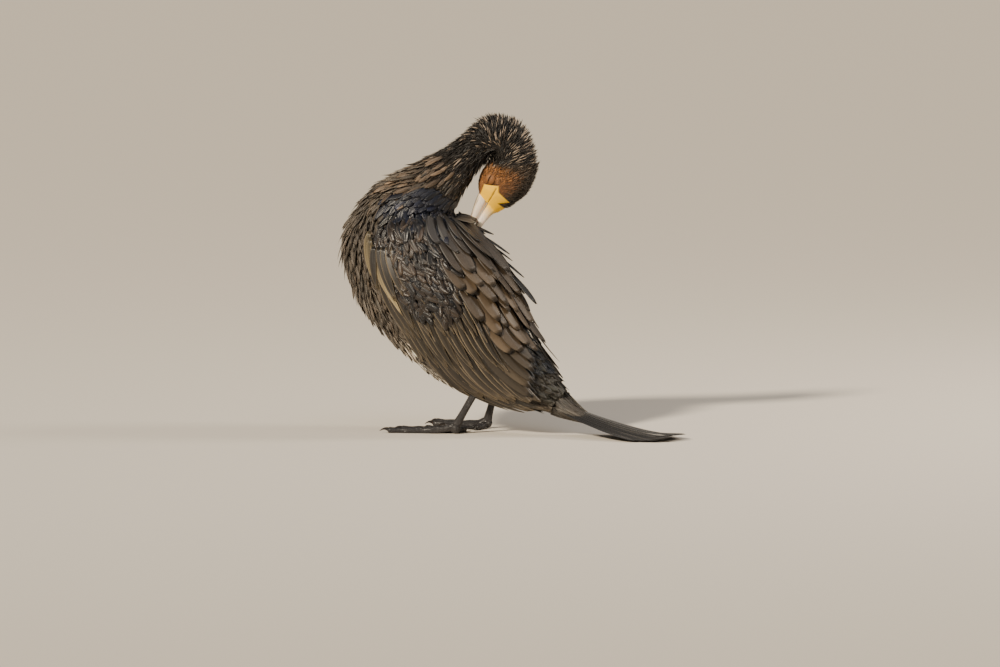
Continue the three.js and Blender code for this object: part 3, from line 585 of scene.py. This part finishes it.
# The head wears a velvet of very short feathers in close rows, which leave the bare yellow skin free. Towards
# the throat they are longer and stand up.
head_look = feather_look("head_velvet", Fringe=(0.45, 0.28, 0.12, 1), Edge=0.3, Narrow=3, Heart=0.3,
                         Shaft=0.1, Streaks=0.4, gloss=0.1, gloss_colour=(1, 0.85, 0.7, 1), rough=0.55)
roots = scattered(11.8, 14.95, 1.35, 1.4, lambda k, phi: face_marks(k, phi)[0] < 0.2)
k, phi = roots.T
count = len(k)
signed = side_angle(phi)
away = np.abs(signed)
length = np.interp(k, [11.8, 13, 15], [7, 4, 2.4]) * (1 + 0.6 * ramp(away, 100, 50))
length = length * random.uniform(0.8, 1.25, count)
lift = np.clip(random.normal(0.12, 0.06, count) + 0.4 * ramp(away, 90, 60), 0.03, 0.6)
outward_sway = np.minimum(np.degrees(length / 20) * 0.6, (180 - away) * 0.5)
outward_sway = outward_sway * np.sign(signed) * ramp(away, 70, 40)
spine, normal = lying(roots, length, 4, -0.5, lift, random.normal(0, 0.04, count),
                      outward_sway + random.normal(0, 6, count), 0.8)
head = vanes("head_feathers", spine, normal, length * 0.1 * mm * random.uniform(0.8, 1.2, count),
             spike[[0, 1, 3, 4]], columns=2, roll=random.normal(0, 0.4, count), camber=0.3, thick=0.1 * mm,
             tint=shaded(roots, 0.42), place=spot_on_skin(roots))
head.data.materials.append(head_look)
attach(head, "root")

# The folded wings: primaries and secondaries lowest as long straight vanes, then tiers of coverts, the
# tertials and small coverts over the arm. Each lower edge lies over the next feather down. The lower feathers
# are worn pale along both edges, and the scapulars on top are bronze with thin black rims.
flight_look = feather_look("flight_feather", Fringe=(0.40, 0.31, 0.2, 1), Edge=1.1, Narrow=9, Heart=0.5,
                           Shaft=0, Streaks=0.1, gloss=0.02, gloss_colour=(0.9, 0.88, 0.8, 1), rough=0.36)
rimmed_look = feather_look("rimmed_feather", Fringe=(0.006, 0.006, 0.007, 1), Edge=1.2, Narrow=8, Heart=0.35,
                           Shaft=0, Streaks=0.05, gloss=0.02, gloss_colour=(0.8, 0.88, 1, 1), rough=0.46)
slate_look = feather_look("slate_covert", Fringe=(0.17, 0.13, 0.1, 1), Edge=0.5, Narrow=3, Heart=0.4, Shaft=0,
                          Streaks=0.1, gloss=0.1, gloss_colour=(0.6, 0.75, 1, 1), rough=0.3)
long_tip = np.array([0.5, 0.8, 0.94, 1, 1, 0.99, 0.96, 0.9, 0.78, 0.55, 0.14])
broad_tip = np.array([0.4, 0.66, 0.84, 0.95, 1, 1, 0.97, 0.9, 0.76, 0.5, 0.12])
rounded = np.array([0.35, 0.55, 0.7, 0.82, 0.92, 0.98, 1, 0.98, 0.9, 0.72, 0.3])
lance = np.array([0.5, 0.8, 0.95, 1, 0.98, 0.92, 0.82, 0.68, 0.5, 0.3, 0.08])
pointed = np.array([0.5, 0.85, 1, 0.98, 0.92, 0.84, 0.74, 0.62, 0.46, 0.28, 0.08])


def tier(side, count, first, last, tip_first, tip_last, half, bow):
    """The spines of one tier, whose roots and tips are each a station, an angle and a height."""
    share = np.linspace(0, 1, count)[:, None]
    root = np.array(first) * (1 - share) + np.array(last) * share
    tip = np.array(tip_first) * (1 - share) + np.array(tip_last) * share
    tip = tip + random.normal(0, 1, (count, 3)) * np.array([0.09, 1.8, 0.8])
    s = np.linspace(0, 1, 11)[None, :, None]
    line = root[:, None] * (1 - s) + tip[:, None] * s
    line[..., 1] = side * (line[..., 1] + bow * np.sin(np.pi * s[..., 0]))
    k, phi, height = np.moveaxis(line, -1, 0)
    normal = outward(k, phi)
    spine = bare_body(k, phi) + normal * (height * mm)[..., None]
    return spine, normal, half * random.uniform(0.93, 1.07, count), root[:, :2] * [1, side]


parts = [
    # count, first root, last root, first tip, last tip, then half width, outline, colour, look, bow
    ("primaries", 7, (3.0, 108, 3.5), (2.8, 92, 4.5), (0.95, 144, 7), (0.05, 112, 7),
     6.4, pointed, (30, 26, 21), flight_look, -3),
    ("secondaries", 15, (3.35, 108, 5), (2.8, 46, 7), (1.6, 132, 8.5), (0.5, 82, 9),
     5.4, long_tip, (31, 26, 21), flight_look, -3),
    ("greater_coverts", 16, (3.6, 104, 8), (3.1, 48, 10), (2.5, 119, 11), (1.55, 62, 12.5),
     4.8, lance, (36, 31, 24), flight_look, 0),
    ("middle_coverts", 15, (4.2, 100, 10), (3.8, 47, 12), (3.2, 109, 13), (2.4, 56, 14.5),
     4.6, lance, (40, 34, 26), flight_look, 0),
    ("median_coverts", 13, (4.85, 95, 12), (4.6, 46, 13), (3.85, 102, 15.5), (3.3, 50, 17),
     5, lance, (32, 28, 24), flight_look, 0),
    ("tertials", 5, (3.1, 50, 10), (3.3, 20, 8), (0.75, 78, 11), (1.35, 34, 11.5),
     9, long_tip, (62, 53, 41), rimmed_look, 2),
    ("edge_coverts", 5, (5.2, 100, 9), (4.6, 93, 12), (4.1, 108, 10), (3.5, 99, 14),
     4, lance, (146, 130, 94), flight_look, 0),
]
for row, tip in enumerate(np.linspace(1.9, 4.5, 8)):
    near, high = 46 - 4.5 * (row % 2), np.interp(tip, [1.9, 3.1, 3.7, 4.5], [13.5, 17.5, 19.5, 16])
    shadowed = np.interp(tip, [3.2, 4.4], [0, 1])
    root, far = tip + 1.2, near - 34
    parts.append((f"scapulars_{row + 1}", 4, (root, near - 2, high - 6), (root, far, high - 9),
                  (tip, near, high), (tip - 0.12, far, high - 2), 10.4, rounded,
                  (90 - 54 * shadowed, 75 - 42 * shadowed, 57 - 25 * shadowed), rimmed_look, 0))
for side_name, side in (("left", 1), ("right", -1)):
    if side < 0:
        # On the far, right side a tier of raised scapulars is near black: partly their own glossy black,
        # partly painted shade of the far wing.
        parts += [
            ("raised_scapulars", 5, (5.2, 24, 8), (3.8, 19, 12), (4.3, 22, 25), (2.7, 17, 24),
             10, rounded, (24, 24, 26), rimmed_look, 0),
            ("preened_feathers", 3, (5.75, 16, 5), (5.6, 4, 5), (5.05, 24, 20), (4.95, 2, 19),
             6.5, rounded, (84, 76, 66), rimmed_look, 0),
        ]
    for part, count, first, last, tip_first, tip_last, half, outline, colour, look, bow in parts:
        spine, normal, halves, roots = tier(side, count, first, last, tip_first, tip_last, half, bow)
        tone = linear(*colour) * uneven(count, 0.28)
        tint = tone, random.uniform(0.6, 1.1, count)
        piece = vanes(f"{side_name}_{part}", spine, normal, halves * mm, outline, columns=8,
                      roll=side * random.normal(0.26, 0.06, count), camber=0.1, thick=0.4 * mm, tint=tint,
                      place=spot_on_skin(roots))
        piece.data.materials.append(look)
        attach(piece, "root")
    roots = scattered(2.5, 5.75, 4.4, 5.0)
    k, phi = roots.T
    signed = side_angle(phi)
    away = np.abs(signed)
    lowest = np.interp(away, [45, 63, 91, 100, 110], [2.95, 3.15, 3.5, 4.1, 4.6])
    lowest = lowest + 0.4 * speckle(k, phi, 6) - 0.2
    on_arm = (arm_depth(np.minimum(k, 5.4), away) > 1.5) & (away > 45) & (k > lowest)
    roots = roots[(np.sign(signed) == side) & on_arm]
    k, phi = roots.T
    count = len(k)
    length = random.uniform(13, 21, count)
    spine, normal = lying(roots, length, 7, 3.5, np.clip(random.normal(0.1, 0.05, count), 0.03, 0.3), -0.04,
                          random.normal(0, 5, count))
    light = uneven(count, 0.3) * (0.35 + 1.1 * speckle(k, phi, 11))[:, None]
    cool = random.random(count)[:, None] < 0.5
    tint = np.where(cool, linear(15, 16, 20), linear(48, 38, 29)) * light, random.uniform(0.2, 1, count)
    piece = vanes(f"{side_name}_small_coverts", spine, normal, length * 0.2 * mm,
                  rounded[[0, 2, 4, 6, 8, 9, 10]], columns=4, roll=side * random.normal(0.12, 0.12, count),
                  camber=0.16, thick=0.3 * mm, tint=tint, place=spot_on_skin(roots))
    piece.data.materials.append(slate_look)
    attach(piece, "root")

# Between the wings and round the foot of the neck lie broad glossy feathers, black with a blue sheen, in rows
# like tiles; the blue towards the neck's foot is painted into their colour as a painted sheen. They stand up
# a little.
gloss_look = feather_look("glossy_back_feather", Fringe=(0.012, 0.014, 0.02, 1), Edge=0.6, Narrow=4,
                          Heart=0.1, Shaft=0, Streaks=0.1, gloss=0.06, gloss_colour=(0.3, 0.45, 1, 1),
                          rough=0.36)
broad_outline = broad_tip[[0, 1, 2, 4, 6, 7, 8, 9, 10]]
rows, side_gap = np.arange(1.5, 6.9, 0.15), 7
limits = np.interp(rows, [1.5, 2.3, 4.9, 5.5, 6.0, 6.9], [46, 15, 13, 46, 100, 84])
roots = []
for i, (k, limit) in enumerate(zip(rows, limits)):
    across = np.linspace(-limit, limit, int(2 * limit / side_gap) + 1) + side_gap * (i % 2 - 0.5) / 2
    roots.append(np.stack([np.full(len(across), k), across], axis=1))
roots = np.concatenate(roots)
roots[:, 0] += random.normal(0, 0.04, len(roots))
roots[:, 1] += random.normal(0, 1.4, len(roots))
k, phi = roots.T
count = len(k)
length = np.interp(k, [1.7, 3, 5, 6.3], [20, 26, 24, 19]) * random.uniform(0.85, 1.15, count)
lift = np.where((k > 2.2) & (k < 5.3), 0.36, 0.16) * random.uniform(0.7, 1.3, count)
spine, normal = lying(roots, length, 9, np.where(k > 5.2, 1.2, -1.5), lift, -0.02, random.normal(0, 3, count))
# Black feathers, turning navy towards the foot of the neck: a painted blue sheen in the colour.
black_with_painted_sheen = linear(20, 21, 19) + (linear(5, 8, 26) - linear(20, 21, 19)) * ramp(k, 4.6, 0.8)[:, None]
mantle = vanes("mantle_feathers", spine, normal, length * 0.2 * mm, broad_outline, columns=6,
               roll=random.normal(0, 0.2, count), camber=0.2, thick=0.3 * mm,
               tint=(black_with_painted_sheen * uneven(count, 0.35), 0.8), place=spot_on_skin(roots))
mantle.data.materials.append(gloss_look)
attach(mantle, "root")

# Down both sides of the neck's foot lie broad feathers bleached to buff, each with a thin dark rim. They
# stand out a little from the skin.
roots = scattered(6.35, 7.7, 8.0, 7.5, lambda k, phi: np.abs(np.abs(side_angle(phi)) - 108) < 34)
count = len(roots)
length = random.uniform(14, 24, count)
spine, normal = lying(roots, length, 9, 0.5, random.uniform(0.1, 0.26, count), -0.05,
                      random.normal(0, 5, count))
tone = linear(112, 92, 72) * uneven(count, 0.6, -0.2)
collar = vanes("collar_feathers", spine, normal, length * 0.13 * mm, broad_outline, columns=6,
               roll=random.normal(0, 0.25, count), camber=0.25, thick=0.3 * mm,
               tint=(tone, random.uniform(0.5, 1, count)), place=spot_on_skin(roots))
collar.data.materials.append(rimmed_look)
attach(collar, "root")

# The tail is seven pairs of stiff narrow feathers with strong pale shafts, the middle pair on top, spread a
# little and bent so that the last part lies on the floor. Soft coverts hide their roots above and below.
tail_look = feather_look("tail_feather", Fringe=(0.10, 0.09, 0.08, 1), Edge=0.6, Narrow=5, Heart=0.3,
                         Shaft=0.85, Streaks=0.05, gloss=0.1, gloss_colour=(0.7, 0.8, 1, 1), rough=0.34)
root_x, root_z, tail_length, tail_pairs = 150, 35, 150, 7
bend = tail_length * 0.86
pair, sides = np.tile(np.arange(tail_pairs), 2), np.repeat([1, -1], tail_pairs)
count = len(pair)
share = pair / (tail_pairs - 1)
yaw = np.radians(1.5 + 14 * share + random.normal(0, 0.35, count))[:, None]
length = (tail_length - 34 * share**2 + random.normal(0, 1.5, count))[:, None]
s = np.linspace(0, 1, 15)
x = root_x + 6 + length * s * np.cos(yaw)
y = -sides[:, None] * (1.7 * (pair[:, None] + 0.5) + length * s * np.sin(yaw))
fall = root_z * ramp(x, root_x + bend, -bend) ** 1.35
z = fall + ((tail_pairs - 1 - pair) * 1.2 + 0.75)[:, None] - (1 - s) * 4
spine = in_frame(x, y, z, 0)
normal = np.broadcast_to(np.array([0.15, 0, 1]) / np.hypot(0.15, 1), spine.shape)
stiff_tip = np.interp(s, [0, 0.3, 0.8, 0.93, 1], [0.4, 0.8, 1, 0.72, 0.1])
tail = vanes("tail_feathers", spine, normal, (6.4 + 0.6 * share) * mm, stiff_tip, columns=6, roll=0,
             camber=0.05, thick=0.5 * mm, tint=(linear(34, 33, 34) * uneven(count, 0.15), 0.9),
             place=np.stack([0.1 + 0.8 * (pair / count + (sides > 0) * 0.5), np.full(count, 0.5)], axis=1))
tail.data.materials.append(tail_look)
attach(tail, "root")
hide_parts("tail")


def stump(along, phi, height):
    """The fleshy root of the tail: how far along it, the angle round it and a height over it give a point."""
    x, z, half, high = (np.interp(along, [0, 0.25, 0.5, 0.75, 1], row) for row in (
        [148, 158, 168, 178, 188], [38, 33, 28, 24, 20.4], [15, 14.5, 15, 13, 8], [14, 11, 7.5, 5, 2.6]))
    half, high, a = half + height, high + height, np.radians(phi)
    return in_frame(x + 0.5 * (1 - along) * high * np.cos(a), -half * np.sin(a), z + high * np.cos(a), 0)


grid_s, grid_phi = np.meshgrid(np.linspace(0, 1, 14), np.arange(32) * 11.25, indexing="ij")
root, ring, turn = ringed("tail_root", stump(grid_s, grid_phi, -1.5))
tinted(root.data, linear(26, 26, 24), 0)
root.data.materials.append(skin_look)
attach(root, "root")
count, stump_length = 620, 42
along, phi = random.uniform(0, 0.8, count), random.uniform(0, 360, count)
length = np.where(np.abs(phi - 180) > 90, 26, 34) * random.uniform(0.7, 1.2, count)
s = np.linspace(0, 1, 6)
ahead = along[:, None] + s * length[:, None] / stump_length
rise = random.uniform(0.5, 3.0, count)[:, None] * s
line = stump(np.minimum(ahead, 1), phi[:, None] + random.normal(0, 6, count)[:, None] * s, rise)
past = np.maximum(ahead - 1, 0) * stump_length * mm
line[..., 0] += past
line[..., 2] = np.maximum(line[..., 2] - past * 0.25, 2 * mm)
normal = line - stump(np.minimum(ahead, 1), phi[:, None], -8)
normal /= np.linalg.norm(normal, axis=-1, keepdims=True)
tone = linear(15, 14, 13) * uneven(count, 0.3)
coverts = vanes("tail_coverts", line, normal, length * 0.09 * mm, spike[[0, 1, 1, 2, 3, 4]], columns=2,
                roll=random.normal(0, 0.4, count), camber=0.2, thick=0.15 * mm, tint=(tone, 0.4),
                place=np.stack([phi / 360, along], axis=1))
coverts.data.materials.append(body_look)
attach(coverts, "root")

# The bill is pale horn with a yellower ridge along its top and a darker hooked tip, and its lower half is
# yellow at the root. The nostril is a mere slit, at the head of a groove that runs along each side of the
# upper half.
upper_bill = np.array([
    # ridge x, z, then mouth line x, z, then half width
    (40.8, 273.2, 50.6, 261.9, 9), (36.6, 263, 47.2, 256.2, 7.4), (33.6, 253.4, 43.2, 249.6, 5.8),
    (30.6, 243.6, 38.6, 241.8, 4.8), (27.8, 233.6, 34.4, 234.4, 4.2), (25.6, 224.6, 31.4, 227, 3.6),
    (26.4, 218.6, 31.6, 221.4, 2.6), (29.6, 215.2, 32.4, 217.2, 1.1)])
lower_bill = np.array([
    (51.2, 261.4, 62, 250.2, 8.4), (47.8, 255.6, 57, 248, 6.8), (43.8, 249, 51.4, 242.4, 5.2),
    (39.2, 241.2, 45.6, 235.2, 4.2), (35.4, 234.4, 40, 229, 3.4), (33.4, 229.8, 36, 225.8, 2)])
horn, tree, shader = material("bill_horn")
grain_map = in_place(tree, "Mapping", (900, 900, 60))
grain_map.inputs["Rotation"].default_value = (0, math.radians(28), 0)
grain = node(tree, "TexNoise", {"Vector": grain_map.outputs["Vector"], "Scale": 1, "Detail": 3})
grain = grain.outputs["Fac"]
fleck = node(tree, "MapRange", {"Value": grain, "To Min": 0.72, "To Max": 1.18}).outputs["Result"]
feed(tree, shader, {"Base Color": scaled(tree, own_tint(tree)["Color"], fleck), "Roughness": 0.32,
                    "Subsurface Weight": 0.08, "Subsurface Scale": 0.004,
                    "Normal": dents(tree, grain, 0.25, 0.2 * mm)})
rings, sides, groove_angle = 44, 40, 52
pale, ridge, yellow, dark_tip = (linear(*colour) for colour in (
    (244, 228, 208), (226, 196, 140), (252, 200, 24), (170, 140, 104)))
for name, stations, groove in (("upper_bill", upper_bill, 1), ("lower_bill", lower_bill, 0)):
    along = np.linspace(0, len(stations) - 1, rings)
    row = np.stack([through(stations[:, 0:2], along), through(stations[:, 2:4], along)], axis=1)
    half = through(stations[:, 4:5], along)
    angle = np.arange(sides) * 360 / sides
    a = np.radians(angle)
    c = np.sign(np.cos(a)) * np.abs(np.cos(a)) ** 0.78
    mid, rise = row.mean(axis=1), (row[:, 0] - row[:, 1]) / 2
    in_groove = np.exp(-((np.abs(side_angle(angle)) - groove_angle) / 7) ** 2)
    sink = groove * in_groove * np.clip((rings - np.arange(rings)) / 30 - 0.35, 0, 1)[:, None]
    x = mid[:, 0:1] + rise[:, 0:1] * c
    z = mid[:, 1:2] + rise[:, 1:2] * c
    y = -half * np.sin(a) * (1 - 0.16 * sink)
    piece, ring, turn = ringed("horn_" + name, in_frame(x, y, z, 25))
    s, angle = ring / (rings - 1), turn * 360 / sides
    if groove:
        top = np.clip(np.cos(np.radians(angle)), 0, 1) ** 3
        tone = pale + (ridge - pale) * (0.85 * top)[:, None]
        tone = tone + (dark_tip - tone) * ramp(s, 0.75, 0.25)[:, None] * 0.6
        # The nostril slit is painted dark on the groove near the root of the bill: painted shade in its
        # recess.
        slit = np.exp(-((np.abs(side_angle(angle)) - groove_angle) / 5) ** 2)
        slit = slit * np.clip(1 - np.abs(s - 0.12) / 0.1, 0, 1)
        tone = tone * (1 - 0.8 * slit[:, None])
    else:
        tone = pale + (yellow - pale) * np.clip(1 - s / 0.45, 0, 1)[:, None]
    tinted(piece.data, tone, 1)
    piece.data.materials.append(horn)
    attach(piece, "root")
    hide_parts(name)

# The eyes are shut. Each is a soft mound of two bare lids, the lower one drawn up until only a dark slit is
# left between their rims, along the line from the nape to the bill. The dark ball of the eye lies under them.
eye_k, eye_phi = 13.0, 55.0
lid_length, lid_width, ball = 6.4, 6.2, 6.6
lid_look = skin_look.copy()
lid_look.name = "lid_skin"


def plate(name, top, bottom):
    """A closed thin body between two grids of points, the upper and the lower face."""
    rows, columns = top.shape[:2]
    points = np.concatenate([top.reshape(-1, 3), bottom.reshape(-1, 3)])
    upper = np.arange(rows * columns).reshape(rows, columns)
    lower = upper + rows * columns
    rim = np.concatenate([upper[0, :], upper[1:, -1], upper[-1, -2::-1], upper[-2:0:-1, 0]])
    below = rim + rows * columns
    wall = np.stack([rim, np.roll(rim, -1), np.roll(below, -1), below], axis=-1)
    mesh = bpy.data.meshes.new(name)
    faces = np.concatenate([quads(upper), quads(lower)[:, ::-1], wall])
    mesh.from_pydata(points.tolist(), [], faces.tolist())
    mesh.polygons.foreach_set("use_smooth", np.ones(len(mesh.polygons), dtype=bool))
    piece = bpy.data.objects.new(name, mesh)
    bpy.context.scene.collection.objects.link(piece)
    faces_out(piece)
    return piece


eye_look, tree, shader = material("eye_dark")
veins = in_place(tree, "TexNoise", 600)
wet = node(tree, "MapRange", {"Value": veins.outputs["Fac"], "To Min": 0.04, "To Max": 0.14})
feed(tree, shader, {"Base Color": (0.008, 0.012, 0.011, 1), "Roughness": wet.outputs["Result"]})
for side_name, side in (("left", 1), ("right", -1)):
    eye_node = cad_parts[side_name + "_eye"]
    eye_node.data.materials.clear()
    eye_node.data.materials.append(eye_look)
    here = np.array(eye_k), np.array(side * eye_phi)
    out = outward(*here)
    along = bare_body(here[0] + 0.1, here[1]) - bare_body(here[0] - 0.1, here[1])
    across = np.cross(out, along)
    across /= np.linalg.norm(across)
    along = np.cross(across, out)
    centre = bare_body(*here) - out * 4 * mm
    for lid, sign in (("upper", 1), ("lower", -1)):
        u, v = np.meshgrid(np.linspace(-1, 1, 25), np.linspace(0, 1, 13), indexing="ij")
        long_way = lid_length * u
        slit = 0.45 * np.clip(1 - u**2, 0, 1) + 0.02
        rim = lid_width * np.sqrt(np.clip(1.02 - u**2, 0.01, 1))
        wide = sign * (slit + (rim - slit) * v)
        dome = np.sqrt(np.clip(ball**2 - 0.72 * (long_way**2 + wide**2), 0.2, None))
        dome = dome + 0.35 * np.exp(-((v - 0.04) / 0.08) ** 2) + 0.12 * np.sin(v * 22) * (1 - v)
        flat = centre + (along * long_way[..., None] + across * wide[..., None] + out * dome[..., None]) * mm
        piece = plate(f"{side_name}_{lid}_lid", flat, flat - out * 0.6 * mm)
        rim_shade = np.where(np.tile(v.ravel(), 2) < 0.12, 0.55, 1)[:, None]
        tinted(piece.data, linear(124, 80, 40) * rim_shade, 1)
        piece.data.materials.append(lid_look)
        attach(piece, "root")

# The legs are short and strong, with bare dark skin covered in scales. All four toes of each foot point
# forward or inward and are joined by webs. The claws are black and curved, and the thighs are hidden in loose
# belly feathers.
leather, tree, shader = material("scaled_leg_skin")
scales = in_place(tree, "TexVoronoi", 520)
scales.feature = "DISTANCE_TO_EDGE"
seam = node(tree, "MapRange", {"Value": scales.outputs["Distance"], "From Max": 0.12}).outputs["Result"]
worn = node(tree, "ValToRGB", {"Fac": in_place(tree, "TexNoise", 70).outputs["Fac"]})
worn.color_ramp.elements[0].color = (0.008, 0.008, 0.010, 1)
worn.color_ramp.elements[1].color = (0.042, 0.036, 0.036, 1)
feed(tree, shader, {"Base Color": over(tree, (0.005, 0.005, 0.006, 1), worn.outputs["Color"], seam),
                    "Roughness": 0.42, "Normal": dents(tree, seam, 0.7, 0.4 * mm)})
claw_look = horn.copy()
claw_look.name = "claw_horn"
joint_height, toe_end, toe_fall, web_half = 11, 2.9, 5, 0.35
toes = {
    # angle from straight ahead towards the outer side, length, half thickness, length of the claw
    "outer": (17, 78, 4.3, 11), "middle": (0, 68, 4.3, 12), "inner": (-25, 48, 4.1, 10),
    "hind": (-88, 27, 3.8, 8)}


def placed(points):
    """Points of the upright bird in millimetres, in the frame's metres."""
    return in_frame(*np.moveaxis(points, -1, 0), 0)


def tube(name, line, radius, sides=20, flat=1.0):
    """A round limb along a line of points in metres, with a radius for each point and each angle round it."""
    forward = np.gradient(line, axis=0)
    forward /= np.linalg.norm(forward, axis=1, keepdims=True)
    across = np.cross([0, 0, 1.0], forward)
    across /= np.linalg.norm(across, axis=1, keepdims=True)
    up = np.cross(forward, across)
    a = (np.arange(sides) * 2 * np.pi / sides)[:, None]
    way = across[:, None] * np.sin(a) * flat + up[:, None] * np.cos(a)
    return ringed(name, line[:, None] + radius[..., None] * way)[0]


for side_name, side, joint, heel_behind in (("left", 1, (36, -36), 29), ("right", -1, (42, 36), 15)):
    def toe_line(toe, share):
        angle, reach = np.radians(toe[0]), toe[1] * share
        z = toe_end + (joint_height - 2 - toe_end) * np.clip(1 - share, 0, 1) ** toe_fall
        return np.stack([joint[0] - np.cos(angle) * reach, joint[1] - side * np.sin(angle) * reach,
                         np.broadcast_to(z, np.shape(reach))], axis=-1)

    pieces = []
    around = np.arange(20) * 18.0
    upper_side = np.clip(np.cos(np.radians(around)), 0, 1)
    for toe_name, toe in toes.items():
        s = np.linspace(0, 1, 46)
        knuckles = 1 + 0.1 * np.cos(6 * np.pi * s)
        scutes = 0.05 * (1 - (s * toe[1] / 2.6) % 1)
        radius = toe[2] * (1 - 0.16 * s) * knuckles
        radius[-1] *= 0.6
        radius = mm * radius[:, None] * (1 + scutes[:, None] * upper_side)
        pieces.append(tube("toe", placed(toe_line(toe, s)), radius))
        angle, start = np.radians(toe[0]), toe_line(toe, np.array(1.0))
        t = np.linspace(0, 1, 16)
        reach = toe[3] * t - 1
        rise = 0.9 + 1.8 * np.sin(np.pi * 0.75 * t) - 3.1 * t * t
        line = start + np.stack([-np.cos(angle) * reach, -side * np.sin(angle) * reach, rise], axis=-1)
        thin = ((2.3 * (1 - t) + 0.25) * mm)[:, None]
        claw = tube(f"{side_name}_{toe_name}_horn", placed(line), thin, 14, 0.7)
        tinted(claw.data, linear(38, 33, 30), 1)
        claw.data.materials.append(claw_look)
        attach(claw, "root")
        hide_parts(f"{side_name}_{toe_name}_claw")
    toe_list = list(toes.values())
    for one, other in zip(toe_list[:-1], toe_list[1:]):
        u, v = np.meshgrid(np.linspace(0, 1, 21), np.linspace(0, 1, 21), indexing="ij")
        reach = 0.05 + 0.93 * v * (1 - 0.15 * np.sin(np.pi * u))
        web = toe_line(one, reach) * (1 - u[..., None]) + toe_line(other, reach) * u[..., None]
        fold = 0.35 * np.sin(u * 9 * np.pi) * v * np.sin(np.pi * u)
        level = np.minimum(web[..., 2], 5) - 1.2 * np.sin(np.pi * u) + fold
        faces = (in_frame(web[..., 0], web[..., 1], z, 0)
                 for z in (level + web_half, np.maximum(level - web_half, 0.05)))
        pieces.append(plate("web", *faces))
    s = np.linspace(0, 1, 12)
    knob = np.stack([joint[0] + 7 - 13 * s, np.full(12, joint[1]), np.full(12, joint_height - 4.5)], axis=-1)
    radius = 6 * mm * np.sqrt(np.clip(1 - (2 * s - 1) ** 2, 0.02, 1))
    pieces.append(tube("knob", placed(knob), radius[:, None]))
    bpy.ops.object.select_all(action="DESELECT")
    for piece in pieces:
        piece.select_set(True)
    bpy.context.view_layer.objects.active = pieces[0]
    bpy.ops.object.join()
    foot = bpy.context.object
    foot.name = side_name + "_webbed_foot"
    points = np.empty(len(foot.data.vertices) * 3, dtype=np.float32)
    foot.data.vertices.foreach_get("co", points)
    points = points.reshape(-1, 3)
    points[:, 2] = np.maximum(points[:, 2], 0.0)
    foot.data.vertices.foreach_set("co", points.ravel())
    foot.data.materials.append(leather)
    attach(foot, "root")
    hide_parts(side_name + "_foot")

    s = np.linspace(0, 1, 50)[:, None]
    low = np.array([joint[0] + 1.5, joint[1], joint_height - 1.0])
    high = np.array([joint[0] + heel_behind, joint[1] + side * 1.5, 56])
    radius = (4.1 + 1.4 * np.abs(2 * s - 1) ** 3) * (1 + 0.05 * (1 - (s * 14) % 1) * upper_side)
    shank = tube(side_name + "_shank", placed(low * (1 - s) + high * s), mm * radius, 20, 0.8)
    shank.data.materials.append(leather)
    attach(shank, "root")
    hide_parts(side_name + "_tarsus")

    count = 900
    heel = np.array([joint[0] + heel_behind - 0.4, joint[1] + side * 1.5, 54.0])
    top_end = np.array([heel[0] - 50, joint[1] + side * 8, 104.0])
    t, angle = random.uniform(0, 0.62, count), random.uniform(0, 2 * np.pi, count)
    s = np.linspace(0, 1, 5)
    length = random.uniform(12, 19, count)
    thigh_length = np.linalg.norm(top_end - heel)
    axis_way = (top_end - heel) / thigh_length
    one_way = np.cross(axis_way, [0, 1.0, 0])
    one_way /= np.linalg.norm(one_way)
    other_way = np.cross(axis_way, one_way)
    ring_way = one_way * np.cos(angle)[:, None] + other_way * np.sin(angle)[:, None]
    down = t[:, None] * thigh_length - s * length[:, None]
    wide = np.interp(down, [-8, 0, 12, 71], [3, 5.5, 11, 24]) * 0.82 + s * 1.5
    line = placed(heel + axis_way * down[..., None] + ring_way[:, None] * wide[..., None])
    light = uneven(count, 0.35)
    mix = random.random(count)[:, None] < 0.4
    tone = np.clip(np.where(mix, linear(150, 134, 112), linear(58, 47, 36)) * light, 0, 1)
    tuft = vanes(side_name + "_thigh_feathers", line, np.broadcast_to(ring_way[:, None], line.shape),
                 length * 0.09 * mm, round_tip, columns=2, roll=random.normal(0, 0.4, count), camber=0.25,
                 thick=0.15 * mm, tint=(tone, 0.6), place=np.stack([angle / 6.2832, t], axis=1))
    tuft.data.materials.append(body_look)
    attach(tuft, "root")
    a = np.radians(around)[:, None]
    down = np.linspace(0, 60, 14)[:, None, None]
    wide = np.interp(down, [0, 12, 71], [3.6, 8, 18])
    core = ringed(side_name + "_thigh_core", placed(
        heel + axis_way * down + (one_way * np.cos(a) + other_way * np.sin(a)) * wide))[0]
    tinted(core.data, linear(48, 40, 32), 0)
    core.data.materials.append(skin_look)
    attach(core, "root")
    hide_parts(side_name + "_thigh")
